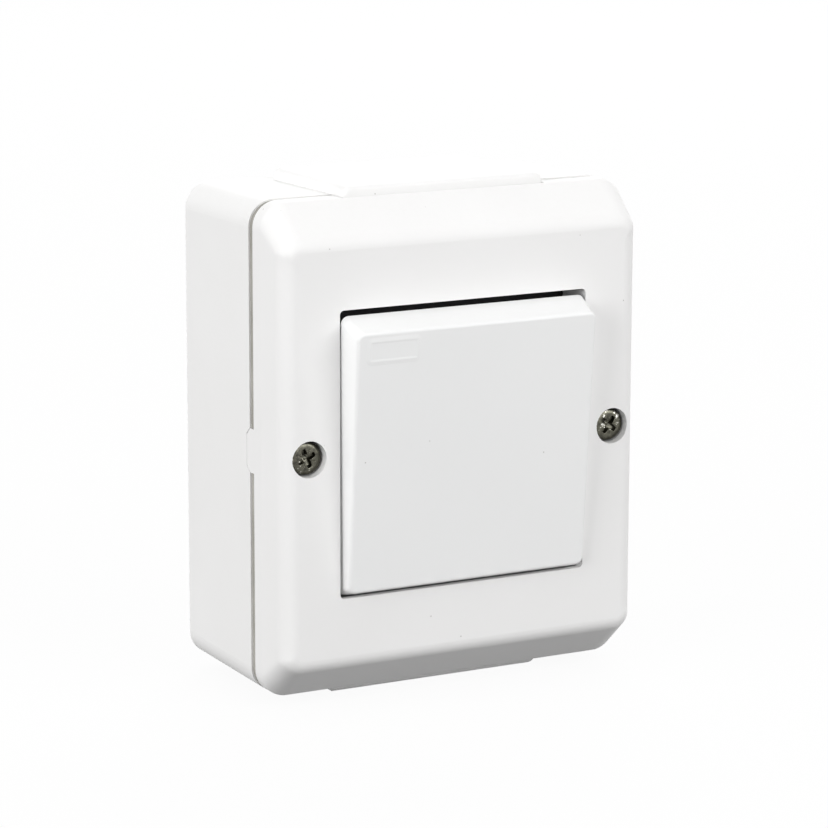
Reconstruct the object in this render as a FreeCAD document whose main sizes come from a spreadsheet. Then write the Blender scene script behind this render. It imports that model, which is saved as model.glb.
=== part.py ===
import FreeCAD, Part
import math
import os
import re
import Sketcher

# A surface-mounted weatherproof rocker switch: back box, seal, bevelled cover, rocker and its mechanism.
# Frame: the wall is the plane y = 0, the switch stands out of it towards -Y, +Z is up and +X is to the
# right of someone facing it. The origin is the middle of the box's flat back. A "depth" below is the
# distance in front of the wall.

os.makedirs("parts", exist_ok=True)
doc = FreeCAD.newDocument("weatherproof_switch")
dims = doc.addObject("Spreadsheet::Sheet", "dims")
workings = doc.addObject("Spreadsheet::Sheet", "workings")

DIMENSIONS = [
    ("overall_width", 70.0, "width of box and cover at the seal"),
    ("overall_height", 85.0, "height of box and cover at the seal, without the pads"),
    ("corner_radius", 4.5, "corners of that outline"),
    ("base_depth", 25.6, "wall to the rim of the box"),
    ("base_draft", 0.3, "how much the box narrows towards the wall on each side"),
    ("wall", 2.4, "side walls of box and cover"),
    ("back_wall", 2.5, "back of the box"),
    ("gasket_gap", 1.5, "seal between box and cover"),
    ("gasket_inset", 0.3, "how far the seal stays inside the outline"),
    ("gasket_rib", 0.8, "width of the seal's rib"),
    ("gasket_rib_depth", 1.1, "how far the rib reaches into the box's groove"),
    ("rim_depth", 2.7, "straight part of the cover's side"),
    ("bevel_depth", 7.3, "depth of the large bevels"),
    ("bevel_drop", 6.3, "height taken by each large bevel"),
    ("bevel_wall", 2.9, "thickness of the bevels, measured upwards"),
    ("side_draft", 0.75, "how much the cover narrows to its front on each side"),
    ("front_corner_radius", 3.6, "corners of the front face"),
    ("front_wall", 2.4, "front of the cover"),
    ("front_edge_radius", 3.0, "rounding of the front edges"),
    ("bevel_edge_radius", 0.8, "rounding where rim and bevels meet"),
    ("top_pad_width", 38.8, "upper pad"),
    ("top_pad_proud", 1.8, "how far it stands out"),
    ("top_pad_radius", 1.6, "rounding of its long edges"),
    ("pad_lip", 1.0, "how far its lip reaches into the outline"),
    ("pad_clearance", 0.2, "gap round that lip in the cover's notch"),
    ("bottom_pad_width", 40.8, "lower pad"),
    ("bottom_pad_proud", 1.9, "how far it stands out"),
    ("bottom_pad_front", 0.8, "how far it reaches over the seal"),
    ("bottom_pad_radius", 1.2, "rounding of its edges"),
    ("pad_back", 3.0, "wall to the backs of both pads"),
    ("window_side", 11.2, "side of the cover to the window"),
    ("window_end", 11.45, "flat land above and below the window"),
    ("window_radius", 0.8, "corners of the window"),
    ("window_land", 1.2, "straight edge of the window before it opens out inside"),
    ("window_flare", 0.85, "how much the window opens out above and below"),
    ("collar_wall", 1.3, "wall of the collar behind the window"),
    ("collar_depth", 5.3, "how far that collar reaches back"),
    ("screw_side", 5.5, "side of the cover to the middle of its screws"),
    ("screw_shank", 3.0, "M3 thread"),
    ("screw_head", 5.6, "M3 pan head"),
    ("screw_head_height", 2.3, "M3 pan head"),
    ("screw_hole", 3.4, "clearance hole of the cover's screws"),
    ("counterbore", 6.3, "recess for a head"),
    ("counterbore_depth", 4.0, "recess for a head and its sealing washer"),
    ("seal_washer", 0.6, "thickness of the sealing washers"),
    ("boss_radius", 4.3, "bosses round the cover's screws"),
    ("stop_radius", 2.8, "stop of such a boss on the box's post"),
    ("post_radius", 3.9, "posts of the box under the cover's screws"),
    ("insert_radius", 2.3, "brass inserts"),
    ("insert_length", 6.0, "brass inserts"),
    ("thread_reach", 7.0, "how far the cover's screws reach into the posts"),
    ("seat_gap", 0.05, "play between faces that meet when screwed down"),
    ("tab_height", 7.6, "tabs of the cover that bridge the seal beside its screws"),
    ("tab_taper", 1.2, "how much such a tab narrows at both corners"),
    ("tab_drop", 1.2, "how far it reaches into the box's notch"),
    ("tab_thickness", 0.8, "thickness of the tabs"),
    ("tab_clearance", 0.1, "gap round the tabs"),
    ("wall_hole", 4.5, "holes for the wall screws"),
    ("wall_hole_side", 12.0, "side of the box to the middle of a wall hole"),
    ("wall_hole_end", 10.5, "end of the box to the middle of a wall hole"),
    ("wall_boss_radius", 4.6, "raised ring round each of them"),
    ("wall_boss_height", 1.2, "raised ring round each of them"),
    ("entry_back", 3.8, "wall to the cable entry in the lower pad"),
    ("entry_front", 1.4, "cable entry to the rim of the box"),
    ("knockout_web", 0.8, "skin left over the blind entry in the upper pad"),
    ("knockout_groove", 1.2, "width of the groove round the blind entry"),
    ("pivot_inset", 10.5, "rocker axis, how far behind the cover's front"),
    ("rest_tilt", 4.62, "tilt of the rocker as it rests, top out, in degrees"),
    ("key_proud", 3.35, "how far the rocker stands out of the window, were it upright"),
    ("key_side_gap", 0.8, "face of the rocker to the side of the window"),
    ("key_end_gap", 2.1, "face of the rocker to the window above and below"),
    ("key_depth", 5.4, "depth of the rocker's skirt"),
    ("key_side_flare", 0.55, "how much the skirt widens to its rim on each side"),
    ("key_end_flare", 1.85, "how much it widens above and below"),
    ("key_wall", 1.7, "walls of the rocker"),
    ("key_radius", 1.4, "corners of the rocker"),
    ("key_edge_radius", 0.6, "rounding of its front edges"),
    ("stem_width", 18.0, "stem of the cradle"),
    ("stem_height", 12.0, "stem of the cradle"),
    ("stem_wall", 1.6, "stem of the cradle"),
    ("leg_width", 6.0, "clip legs of the rocker"),
    ("leg_thickness", 1.3, "clip legs of the rocker"),
    ("leg_barb", 0.6, "hook of a clip leg"),
    ("leg_reach", 5.0, "rocker axis to the ends of the clip legs"),
    ("cradle_play", 0.4, "plate of the cradle to each ear of the mechanism"),
    ("cradle_height", 17.0, "plate of the cradle"),
    ("cradle_front", 2.5, "rocker axis to the front of that plate"),
    ("cradle_back", 1.8, "rocker axis to the back of that plate"),
    ("trunnion_radius", 2.0, "trunnions of the cradle"),
    ("trunnion_play", 0.2, "end of a trunnion to the outside of its ear"),
    ("running_fit", 0.08, "radial play of what turns or slides"),
    ("tube_radius", 3.5, "tube for the plunger"),
    ("tube_gap", 3.5, "end of the tube to the tip of the plunger"),
    ("bore_top", 1.2, "rocker axis to the floor of the tube's bore, forwards"),
    ("plunger_radius", 2.1, "plunger"),
    ("plunger_start", 2.5, "rocker axis to the plunger's open end"),
    ("tip_gap", 0.85, "tip of the plunger to the knife edge"),
    ("plunger_tip_radius", 1.4, "its round tip"),
    ("plunger_wall", 0.5, "wall of the plunger's bore"),
    ("spring_radius", 1.2, "coil spring, to the middle of the wire"),
    ("spring_wire", 0.45, "its wire"),
    ("spring_turns", 9.0, "its turns"),
    ("sheet_metal", 0.8, "brass strips and blade"),
    ("fixed_contact_head", 0.34, "height of the strips' rivets"),
    ("blade_tilt", 6.5, "tilt of the blade as it rests, in degrees"),
    ("blade_width", 6.0, "contact blade"),
    ("blade_end_gap", 0.9, "end of the blade to the end of its chamber"),
    ("contact_inset", 1.5, "end of the blade to the middle of a contact"),
    ("contact_radius", 1.5, "silver rivets"),
    ("moving_contact_head", 0.5, "height of the blade's rivets"),
    ("contact_shank", 0.8, "radius of the rivets' shanks"),
    ("contact_play", 0.05, "gap at a closed contact"),
    ("housing_base", 2.15, "bottom of the mechanism below its chamber"),
    ("chamber_depth", 11.35, "contact chamber"),
    ("housing_inset", 4.6, "front of the mechanism, how far behind the rocker axis"),
    ("housing_share", 0.66, "half width of the mechanism as a share of that over its flanges"),
    ("housing_height", 39.0, "mechanism housing"),
    ("housing_radius", 1.5, "its corners"),
    ("chamber_side_gap", 1.0, "room beside the plunger's tube in the chamber"),
    ("chamber_end", 6.1, "end of the mechanism to the contact chamber"),
    ("ear_thickness", 2.7, "ears that hold the trunnions"),
    ("ear_height", 10.0, "ears that hold the trunnions"),
    ("ear_front", 3.2, "rocker axis to the front of the ears"),
    ("ear_slot", 3.5, "slot through which the trunnions snap in"),
    ("flange_gap", 0.6, "fixing flanges to the posts of the cover's screws"),
    ("flange_height", 9.0, "fixing flanges"),
    ("flange_thickness", 3.0, "fixing flanges"),
    ("fixing_tip_gap", 1.0, "tips of the fixing screws to the back wall"),
    ("fixing_post_radius", 3.3, "posts under the flanges"),
    ("fixing_screw", 2.9, "fixing screws of the mechanism"),
    ("fixing_head", 5.4, "their heads"),
    ("fixing_head_height", 2.0, "their heads"),
    ("lid_side_gap", 0.3, "lid of the contact chamber to the ears"),
    ("lid_overlap", 0.2, "lid of the contact chamber to the end of the chamber"),
    ("lid_thickness", 1.2, "lid of the contact chamber"),
    ("lid_hole_gap", 0.9, "room round the plunger's tube in the lid's hole"),
    ("peg_radius", 0.8, "pegs that hold the lid"),
    ("peg_inset", 2.8, "side of the lid to the middle of its pegs"),
    ("well_side_gap", 0.5, "head of a terminal screw to the sides of its well"),
    ("well_end_gap", 0.3, "head of a terminal screw to the ends of its well"),
    ("terminal_end", 3.5, "end of the mechanism to the middle of the terminal screws"),
    ("common_side", 6.0, "side of the mechanism to the middle of the common terminal"),
    ("slot_step", 0.3, "how much narrower the wire slots are than a well, each side"),
    ("slot_depth", 5.2, "wire slots and strip channels"),
    ("strip_gap", 0.2, "gap beside a terminal strip in its slot"),
    ("block_height", 5.0, "tapped blocks of the terminals"),
    ("block_depth", 4.0, "tapped blocks of the terminals"),
    ("clamp_thickness", 1.0, "wire clamps"),
    ("terminal_screw", 3.0, "terminal screws"),
    ("terminal_head", 5.0, "their heads"),
    ("terminal_head_height", 2.4, "their heads"),
    ("earth_end_gap", 2.9, "end of the earth terminal to the ring of the wall hole below it"),
    ("earth_length", 11.0, "earth terminal"),
    ("earth_cheek", 1.4, "cheeks that hold it"),
    ("earth_size", 7.0, "its section"),
    ("earth_gap", 0.1, "gap between it and its cheeks"),
    ("earth_bore", 3.8, "its wire bore"),
    ("membrane_side_gap", 0.4, "membrane and frame to the bosses of the cover's screws"),
    ("frame_end", 6.0, "how far the membrane's frame reaches beyond the rubber, above and below"),
    ("flange_land", 2.45, "rubber flange beyond the window, above and below"),
    ("membrane_rubber", 1.0, "thickness of the flange"),
    ("membrane_sheet", 0.8, "thickness of the membrane"),
    ("border_side", 4.3, "border of the membrane's frame at its sides"),
    ("border_end", 4.7, "rubber flange to the opening of the frame, above and below"),
    ("membrane_rise", 2.6, "how far the membrane stands before its flange"),
    ("membrane_lip", 2.2, "height of its lip round the stem"),
    ("stem_play_side", 0.15, "gap of the lip beside the stem"),
    ("stem_play_end", 0.75, "gap of the lip above and below the stem"),
    ("frame_thickness", 1.5, "frame that clamps the membrane"),
    ("frame_screw_side", 5.8, "side of the frame to its screws"),
    ("frame_screw_end", 2.6, "end of the frame to its screws"),
    ("frame_boss_radius", 2.6, "bosses of the frame's screws"),
    ("frame_screw", 2.2, "the frame's screws"),
    ("frame_head", 4.0, "their heads"),
    ("frame_head_height", 1.4, "their heads"),
    ("grommet_flange", 1.4, "inner flange of the grommet"),
    ("grommet_overlap", 1.1, "how far that flange covers the wall"),
    ("grommet_skin", 0.8, "pierceable skin of the grommet"),
    ("grommet_recess", 0.3, "how far the grommet stays inside the lower pad"),
    ("rubber_fit", 0.05, "play of the rubber parts in their seats"),
]

for row, (alias, number, note) in enumerate(DIMENSIONS, start=1):
    dims.set(f"A{row}", note)
    dims.set(f"B{row}", str(number))
    dims.setAlias(f"B{row}", alias)
doc.recompute()
NAMES = {alias for alias, number, note in DIMENSIONS}

# Places along the depth, from the wall forwards, each an expression over the dimensions
RIM = "(base_depth + gasket_gap)"
BEVEL = f"({RIM} + rim_depth)"
FRONT = f"({BEVEL} + bevel_depth)"
INSIDE = f"({FRONT} - front_wall)"
COLLAR = f"({INSIDE} - collar_depth)"
FRAME_FRONT = f"({COLLAR} - membrane_rubber)"
FRAME_BACK = f"({FRAME_FRONT} - frame_thickness)"
SHEET_BACK = f"({COLLAR} + membrane_rise - membrane_sheet)"
SEAT = f"({FRONT} - counterbore_depth)"
LIP = f"({BEVEL} - pad_clearance)"
PIVOT = f"({FRONT} - pivot_inset)"
HOUSING_FRONT = f"({PIVOT} - housing_inset)"
FLOOR = f"({HOUSING_FRONT} - chamber_depth)"
HOUSING_BACK = f"({FLOOR} - housing_base)"
STRIP_FRONT = f"({FLOOR} + sheet_metal)"
BLOCK_FRONT = f"({FLOOR} + block_depth)"
CLAMP_FRONT = f"({BLOCK_FRONT} + clamp_thickness)"
CONTACT_FRONT = f"({STRIP_FRONT} + fixed_contact_head)"
ENTRY_DEPTH = "((entry_back + base_depth - entry_front) / 2)"
ENTRY_RADIUS = "((base_depth - entry_front - entry_back) / 2)"

# Half widths and heights of the box, the window and the rocker
HALF_WIDTH = "(overall_width / 2)"
HALF_HEIGHT = "(overall_height / 2)"
CAVITY_WIDTH = f"({HALF_WIDTH} - wall)"
CAVITY_HEIGHT = f"({HALF_HEIGHT} - wall)"
CAVITY_RADIUS = "(corner_radius - wall)"
WINDOW_WIDE = f"({HALF_WIDTH} - window_side)"
WINDOW_HIGH = f"({HALF_HEIGHT} - bevel_drop - window_end)"
KEY_WIDE = f"({WINDOW_WIDE} - key_side_gap)"
KEY_HIGH = f"({WINDOW_HIGH} - key_end_gap)"
KEY_REACH = "(pivot_inset + key_proud)"
STEM_REACH = f"({KEY_REACH} - key_wall)"
SCREW_PLACE = f"({HALF_WIDTH} - screw_side)"
WALL_HOLE_ACROSS = f"({HALF_WIDTH} - wall_hole_side)"
WALL_HOLE_UP = f"({HALF_HEIGHT} - wall_hole_end)"

# The membrane and its frame lie between the bosses of the cover's screws
MEMBRANE_WIDE = f"({SCREW_PLACE} - boss_radius - membrane_side_gap)"
MEMBRANE_HIGH = f"({WINDOW_HIGH} + flange_land)"
FRAME_HIGH = f"({MEMBRANE_HIGH} + frame_end)"
OPENING_WIDE = f"({MEMBRANE_WIDE} - border_side)"
OPENING_HIGH = f"({MEMBRANE_HIGH} - border_end)"
FRAME_SCREW_ACROSS = f"({MEMBRANE_WIDE} - frame_screw_side)"
FRAME_SCREW_UP = f"({FRAME_HIGH} - frame_screw_end)"

# The mechanism lies between the posts of the cover's screws
FLANGE_REACH = f"({SCREW_PLACE} - post_radius - flange_gap)"
HOUSING_WIDE = f"({FLANGE_REACH} * housing_share)"
HOUSING_HIGH = "(housing_height / 2)"
FIXING_PLACE = f"(({HOUSING_WIDE} + {FLANGE_REACH}) / 2)"
EAR_INSIDE = f"({HOUSING_WIDE} - ear_thickness)"
CRADLE_WIDE = f"({EAR_INSIDE} - cradle_play)"
CHAMBER_WIDE = "(tube_radius + chamber_side_gap)"
CHAMBER_HIGH = f"({HOUSING_HIGH} - chamber_end)"
WELL_WIDE = "(terminal_head / 2 + well_side_gap)"
WELL_HIGH = "(terminal_head / 2 + well_end_gap)"
SLOT = f"({WELL_WIDE} - slot_step)"
STRIP = f"({SLOT} - strip_gap)"
COMMON_PLACE = f"({HOUSING_WIDE} - common_side)"
TERMINAL_PLACE = f"({HOUSING_HIGH} - terminal_end)"
LID_WIDE = f"({EAR_INSIDE} - lid_side_gap)"
LID_HIGH = f"({CHAMBER_HIGH} - lid_overlap)"
PEG_ACROSS = f"({LID_WIDE} - peg_inset)"
PEG_UP = f"({LID_HIGH} - peg_inset)"
EARTH_PLACE = f"(({HOUSING_WIDE} + {CAVITY_WIDTH}) / 2)"
EARTH_DOWN = f"({WALL_HOLE_UP} - wall_boss_radius - earth_end_gap - earth_length / 2)"

# The blade just meets one of the strips' rivets as it rests, and the plunger's tip ends above the blade
BLADE_HALF = f"({CHAMBER_HIGH} - blade_end_gap)"
CONTACT_PLACE = f"({BLADE_HALF} - contact_inset)"
BLADE_PIVOT = (
    f"({CONTACT_FRONT} + contact_play + moving_contact_head * cos(blade_tilt * 1deg)"
    f" + ({CONTACT_PLACE} + contact_radius) * sin(blade_tilt * 1deg))"
)
PLUNGER_TIP = f"({PIVOT} - {BLADE_PIVOT} - tip_gap)"
TUBE_REACH = f"({PLUNGER_TIP} - tube_gap)"


# An expression over the dimensions, as the features of the document read it
def refer(text):
    def point(match):
        word = match.group(0)
        return f"dims.{word}" if word in NAMES else word

    return re.sub(r"[a-z_]+", point, str(text))


# The number that the sheet gives for such an expression
def size(text):
    workings.set("A1", "=" + refer(text))
    workings.recompute()
    result = workings.get("A1")
    return float(getattr(result, "Value", result))


def bind(item, name, text):
    item.setExpression(name, refer(text))


# Sketches

def sketch_on(body, role, offset="0"):
    sketch = body.newObject("Sketcher::SketchObject", body.Name + "_sketch")
    plane = next(item for item in body.Origin.OriginFeatures if item.Role == role)
    sketch.AttachmentSupport = [(plane, "")]
    sketch.MapMode = "FlatFace"
    bind(sketch, "AttachmentOffset.Base.z", f"0 + {offset}")
    return sketch


# Holds a point of the sketch at the place that two expressions give
def hold(sketch, item, end, across, up):
    for kind, level, text in (("DistanceX", "Vertical", across), ("DistanceY", "Horizontal", up)):
        value = size(text)
        if abs(value) < 1e-9:
            sketch.addConstraint(Sketcher.Constraint(level, -1, 1, item, end))
            continue
        index = sketch.addConstraint(Sketcher.Constraint(kind, -1, 1, item, end, value))
        sketch.setExpression(f"Constraints[{index}]", refer(text))


def draw_polygon(sketch, corners):
    spots = [FreeCAD.Vector(size(across), size(up), 0) for across, up in corners]
    first = sketch.GeometryCount
    count = len(corners)
    for index in range(count):
        sketch.addGeometry(Part.LineSegment(spots[index], spots[(index + 1) % count]), False)
    for index in range(count):
        following = first + (index + 1) % count
        sketch.addConstraint(Sketcher.Constraint("Coincident", first + index, 2, following, 1))
    for index, (across, up) in enumerate(corners):
        hold(sketch, first + index, 1, across, up)


def draw_box(sketch, left, right, low, high):
    draw_polygon(sketch, [(left, low), (right, low), (right, high), (left, high)])


def draw_circle(sketch, across, up, radius):
    middle = FreeCAD.Vector(size(across), size(up), 0)
    circle = sketch.addGeometry(Part.Circle(middle, FreeCAD.Vector(0, 0, 1), size(radius)), False)
    hold(sketch, circle, 3, across, up)
    index = sketch.addConstraint(Sketcher.Constraint("Radius", circle, size(radius)))
    sketch.setExpression(f"Constraints[{index}]", refer(radius))


# A rectangle about the origin with rounded corners: line, arc, line and so on, anticlockwise
def draw_rounded(sketch, half_width, half_height, radius):
    wide, high, curve = size(half_width), size(half_height), size(radius)
    first = sketch.GeometryCount
    sides = [(0, -1), (1, 0), (0, 1), (-1, 0)]
    for turn, (east, north) in enumerate(sides):
        along = FreeCAD.Vector(-north, east, 0)
        outward = FreeCAD.Vector(east, north, 0)
        level = FreeCAD.Vector(outward.x * wide, outward.y * high, 0)
        run = (wide if north else high) - curve
        line = Part.LineSegment(level - along * run, level + along * run)
        sketch.addGeometry(line, False)
        middle = level + along * run - outward * curve
        circle = Part.Circle(middle, FreeCAD.Vector(0, 0, 1), curve)
        start = math.radians(-90 + 90 * turn)
        sketch.addGeometry(Part.ArcOfCircle(circle, start, start + math.pi / 2), False)
    for index in range(8):
        following = first + (index + 1) % 8
        sketch.addConstraint(Sketcher.Constraint("Tangent", first + index, 2, following, 1))
    for index, kind in ((0, "Horizontal"), (2, "Vertical"), (4, "Horizontal"), (6, "Vertical")):
        sketch.addConstraint(Sketcher.Constraint(kind, first + index))
    for index in (3, 5, 7):
        sketch.addConstraint(Sketcher.Constraint("Equal", first + 1, first + index))
    index = sketch.addConstraint(Sketcher.Constraint("Radius", first + 1, curve))
    sketch.setExpression(f"Constraints[{index}]", refer(radius))
    limits = (
        ("DistanceX", (-1, 1, first + 2, 1), wide, half_width),
        ("DistanceY", (-1, 1, first + 4, 1), high, half_height),
        ("DistanceX", (first + 6, 1, -1, 1), wide, half_width),
        ("DistanceY", (first, 1, -1, 1), high, half_height),
    )
    for kind, ends, value, text in limits:
        index = sketch.addConstraint(Sketcher.Constraint(kind, *ends, value))
        sketch.setExpression(f"Constraints[{index}]", refer(text))


# The outline of the inside, set outwards by an offset
def draw_around_cavity(sketch, offset):
    sides = [f"{side} + {offset}" for side in (CAVITY_WIDTH, CAVITY_HEIGHT, CAVITY_RADIUS)]
    draw_rounded(sketch, *sides)


# Features of a body. The plane across the depth faces forwards, so a pad on it grows to the front and a
# pocket on it cuts to the wall, unless it is turned round.

def new_body(label):
    body = doc.addObject("PartDesign::Body", label)
    body.Label = label
    return body


def extrude(body, kind, sketch, length, turned=False, centred=False):
    feature = body.newObject(kind, body.Name + "_" + kind.split("::")[1].lower())
    feature.Profile = sketch
    bind(feature, "Length", length)
    feature.Reversed = turned
    feature.Midplane = centred
    sketch.Visibility = False
    body.Tip = feature
    return feature


def pad(body, sketch, length, turned=False, centred=False):
    return extrude(body, "PartDesign::Pad", sketch, length, turned, centred)


def pocket(body, sketch, length, turned=False, centred=False):
    return extrude(body, "PartDesign::Pocket", sketch, length, turned, centred)


# A straight loft through rounded rectangles, each a depth, half width, half height and radius
def loft(body, kind, sections):
    sketches = []
    for depth, half_width, half_height, radius in sections:
        sketch = sketch_on(body, "XZ_Plane", depth)
        draw_rounded(sketch, half_width, half_height, radius)
        sketches.append(sketch)
    feature = body.newObject(kind, body.Name + "_loft")
    feature.Profile = sketches[0]
    feature.Sections = sketches[1:]
    feature.Ruled = True
    body.Tip = feature
    return feature


def revolve(body, kind, sketch, axis):
    feature = body.newObject(kind, body.Name + "_turned")
    feature.Profile = sketch
    feature.ReferenceAxis = (sketch, [axis])
    feature.Angle = 360.0
    body.Tip = feature
    return feature


# Rounds the edges of the body so far that pass a test on their middle point and direction
def round_edges(body, radius, wanted):
    doc.recompute()
    base = body.Tip
    names = []
    for index, edge in enumerate(base.Shape.Edges, start=1):
        middle = edge.valueAt((edge.FirstParameter + edge.LastParameter) / 2)
        span = edge.Vertexes[-1].Point - edge.Vertexes[0].Point
        if wanted(middle, span):
            names.append(f"Edge{index}")
    feature = body.newObject("PartDesign::Fillet", body.Name + "_rounding")
    feature.Base = (base, names)
    bind(feature, "Radius", radius)
    body.Tip = feature
    return feature


# Solids that need no sketch, placed in x, depth and z

def block(name, left, right, back, front, low, high):
    item = doc.addObject("Part::Box", name)
    bind(item, "Length", f"({right}) - ({left})")
    bind(item, "Width", f"({front}) - ({back})")
    bind(item, "Height", f"({high}) - ({low})")
    bind(item, "Placement.Base.x", left)
    bind(item, "Placement.Base.y", f"-({front})")
    bind(item, "Placement.Base.z", low)
    return item


# A rod along the depth, from back to front
def rod(name, across, up, radius, back, front):
    item = doc.addObject("Part::Cylinder", name)
    bind(item, "Radius", radius)
    bind(item, "Height", f"({front}) - ({back})")
    item.Placement.Rotation = FreeCAD.Rotation(FreeCAD.Vector(1, 0, 0), 90)
    bind(item, "Placement.Base.x", across)
    bind(item, "Placement.Base.y", f"-({back})")
    bind(item, "Placement.Base.z", up)
    return item


# An upright rod, at the place across and the depth given
def upright_rod(name, across, depth, radius, low, high):
    item = doc.addObject("Part::Cylinder", name)
    bind(item, "Radius", radius)
    bind(item, "Height", f"({high}) - ({low})")
    bind(item, "Placement.Base.x", across)
    bind(item, "Placement.Base.y", f"-({depth})")
    bind(item, "Placement.Base.z", low)
    return item


def fuse(name, items):
    item = doc.addObject("Part::MultiFuse", name)
    item.Shapes = items
    item.Refine = True
    return item


def cut(name, base, tools):
    item = doc.addObject("Part::Cut", name)
    item.Base = base
    item.Tool = tools[0] if len(tools) == 1 else fuse(name + "_cutters", tools)
    return item


def group(label, items):
    item = doc.addObject("Part::Compound", label)
    item.Label = label
    item.Links = items
    return item


# A screw along the depth with a domed head. Its head stands on the seat and faces the front, or the wall
# if it is turned round; the slot and the driver's cross are cut in the head.
def screw(name, across, up, seat, shank, head, head_height, length, turned=False):
    body = new_body(name)
    sketch = sketch_on(body, "XZ_Plane")
    draw_circle(sketch, "0", "0", f"{head} / 2")
    pad(body, sketch, head_height)
    round_edges(body, f"{head_height} * 0.45", lambda middle, span: middle.y < -0.1)
    sketch = sketch_on(body, "XZ_Plane")
    draw_circle(sketch, "0", "0", f"{shank} / 2")
    pad(body, sketch, length, turned=True)
    recess = f"{head_height} * 0.5"
    long, narrow = f"{head} * 0.34", f"{head} * 0.07"
    for half_width, half_height in ((long, narrow), (narrow, long)):
        sketch = sketch_on(body, "XZ_Plane", head_height)
        draw_box(sketch, f"-({half_width})", half_width, f"-({half_height})", half_height)
        pocket(body, sketch, recess)
    if turned:
        body.Placement.Rotation = FreeCAD.Rotation(FreeCAD.Vector(1, 0, 0), 180)
    bind(body, "Placement.Base.x", across)
    bind(body, "Placement.Base.y", f"-({seat})")
    bind(body, "Placement.Base.z", up)
    return body


# The tab's outline beside each screw of the cover, seen from the side and grown by a gap
def draw_tab(sketch, gap):
    foot = f"(-base_depth + tab_drop + {gap})"
    wide = f"(tab_height / 2 + {gap})"
    narrow = f"({wide} - tab_taper)"
    draw_polygon(sketch, [
        (f"-{RIM} - 0.1", f"-{wide}"),
        ("-base_depth", f"-{wide}"),
        (foot, f"-{narrow}"),
        (foot, narrow),
        ("-base_depth", wide),
        (f"-{RIM} - 0.1", wide),
    ])


# Room for the upper pad's lip, seen from the front
def draw_lip_room(sketch):
    half = "(top_pad_width / 2 + pad_clearance)"
    draw_box(sketch, f"-{half}", half, f"{HALF_HEIGHT} - pad_lip - pad_clearance", f"{HALF_HEIGHT} + 1")


# Cuts room for both tabs
def cut_tab_notches(body):
    reach = "(tab_thickness + tab_clearance)"
    for place in (f"-{HALF_WIDTH} - 1", f"{HALF_WIDTH} - {reach}"):
        sketch = sketch_on(body, "YZ_Plane", place)
        draw_tab(sketch, "tab_clearance")
        pocket(body, sketch, f"{reach} + 1", turned=True)


# The back box

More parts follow.
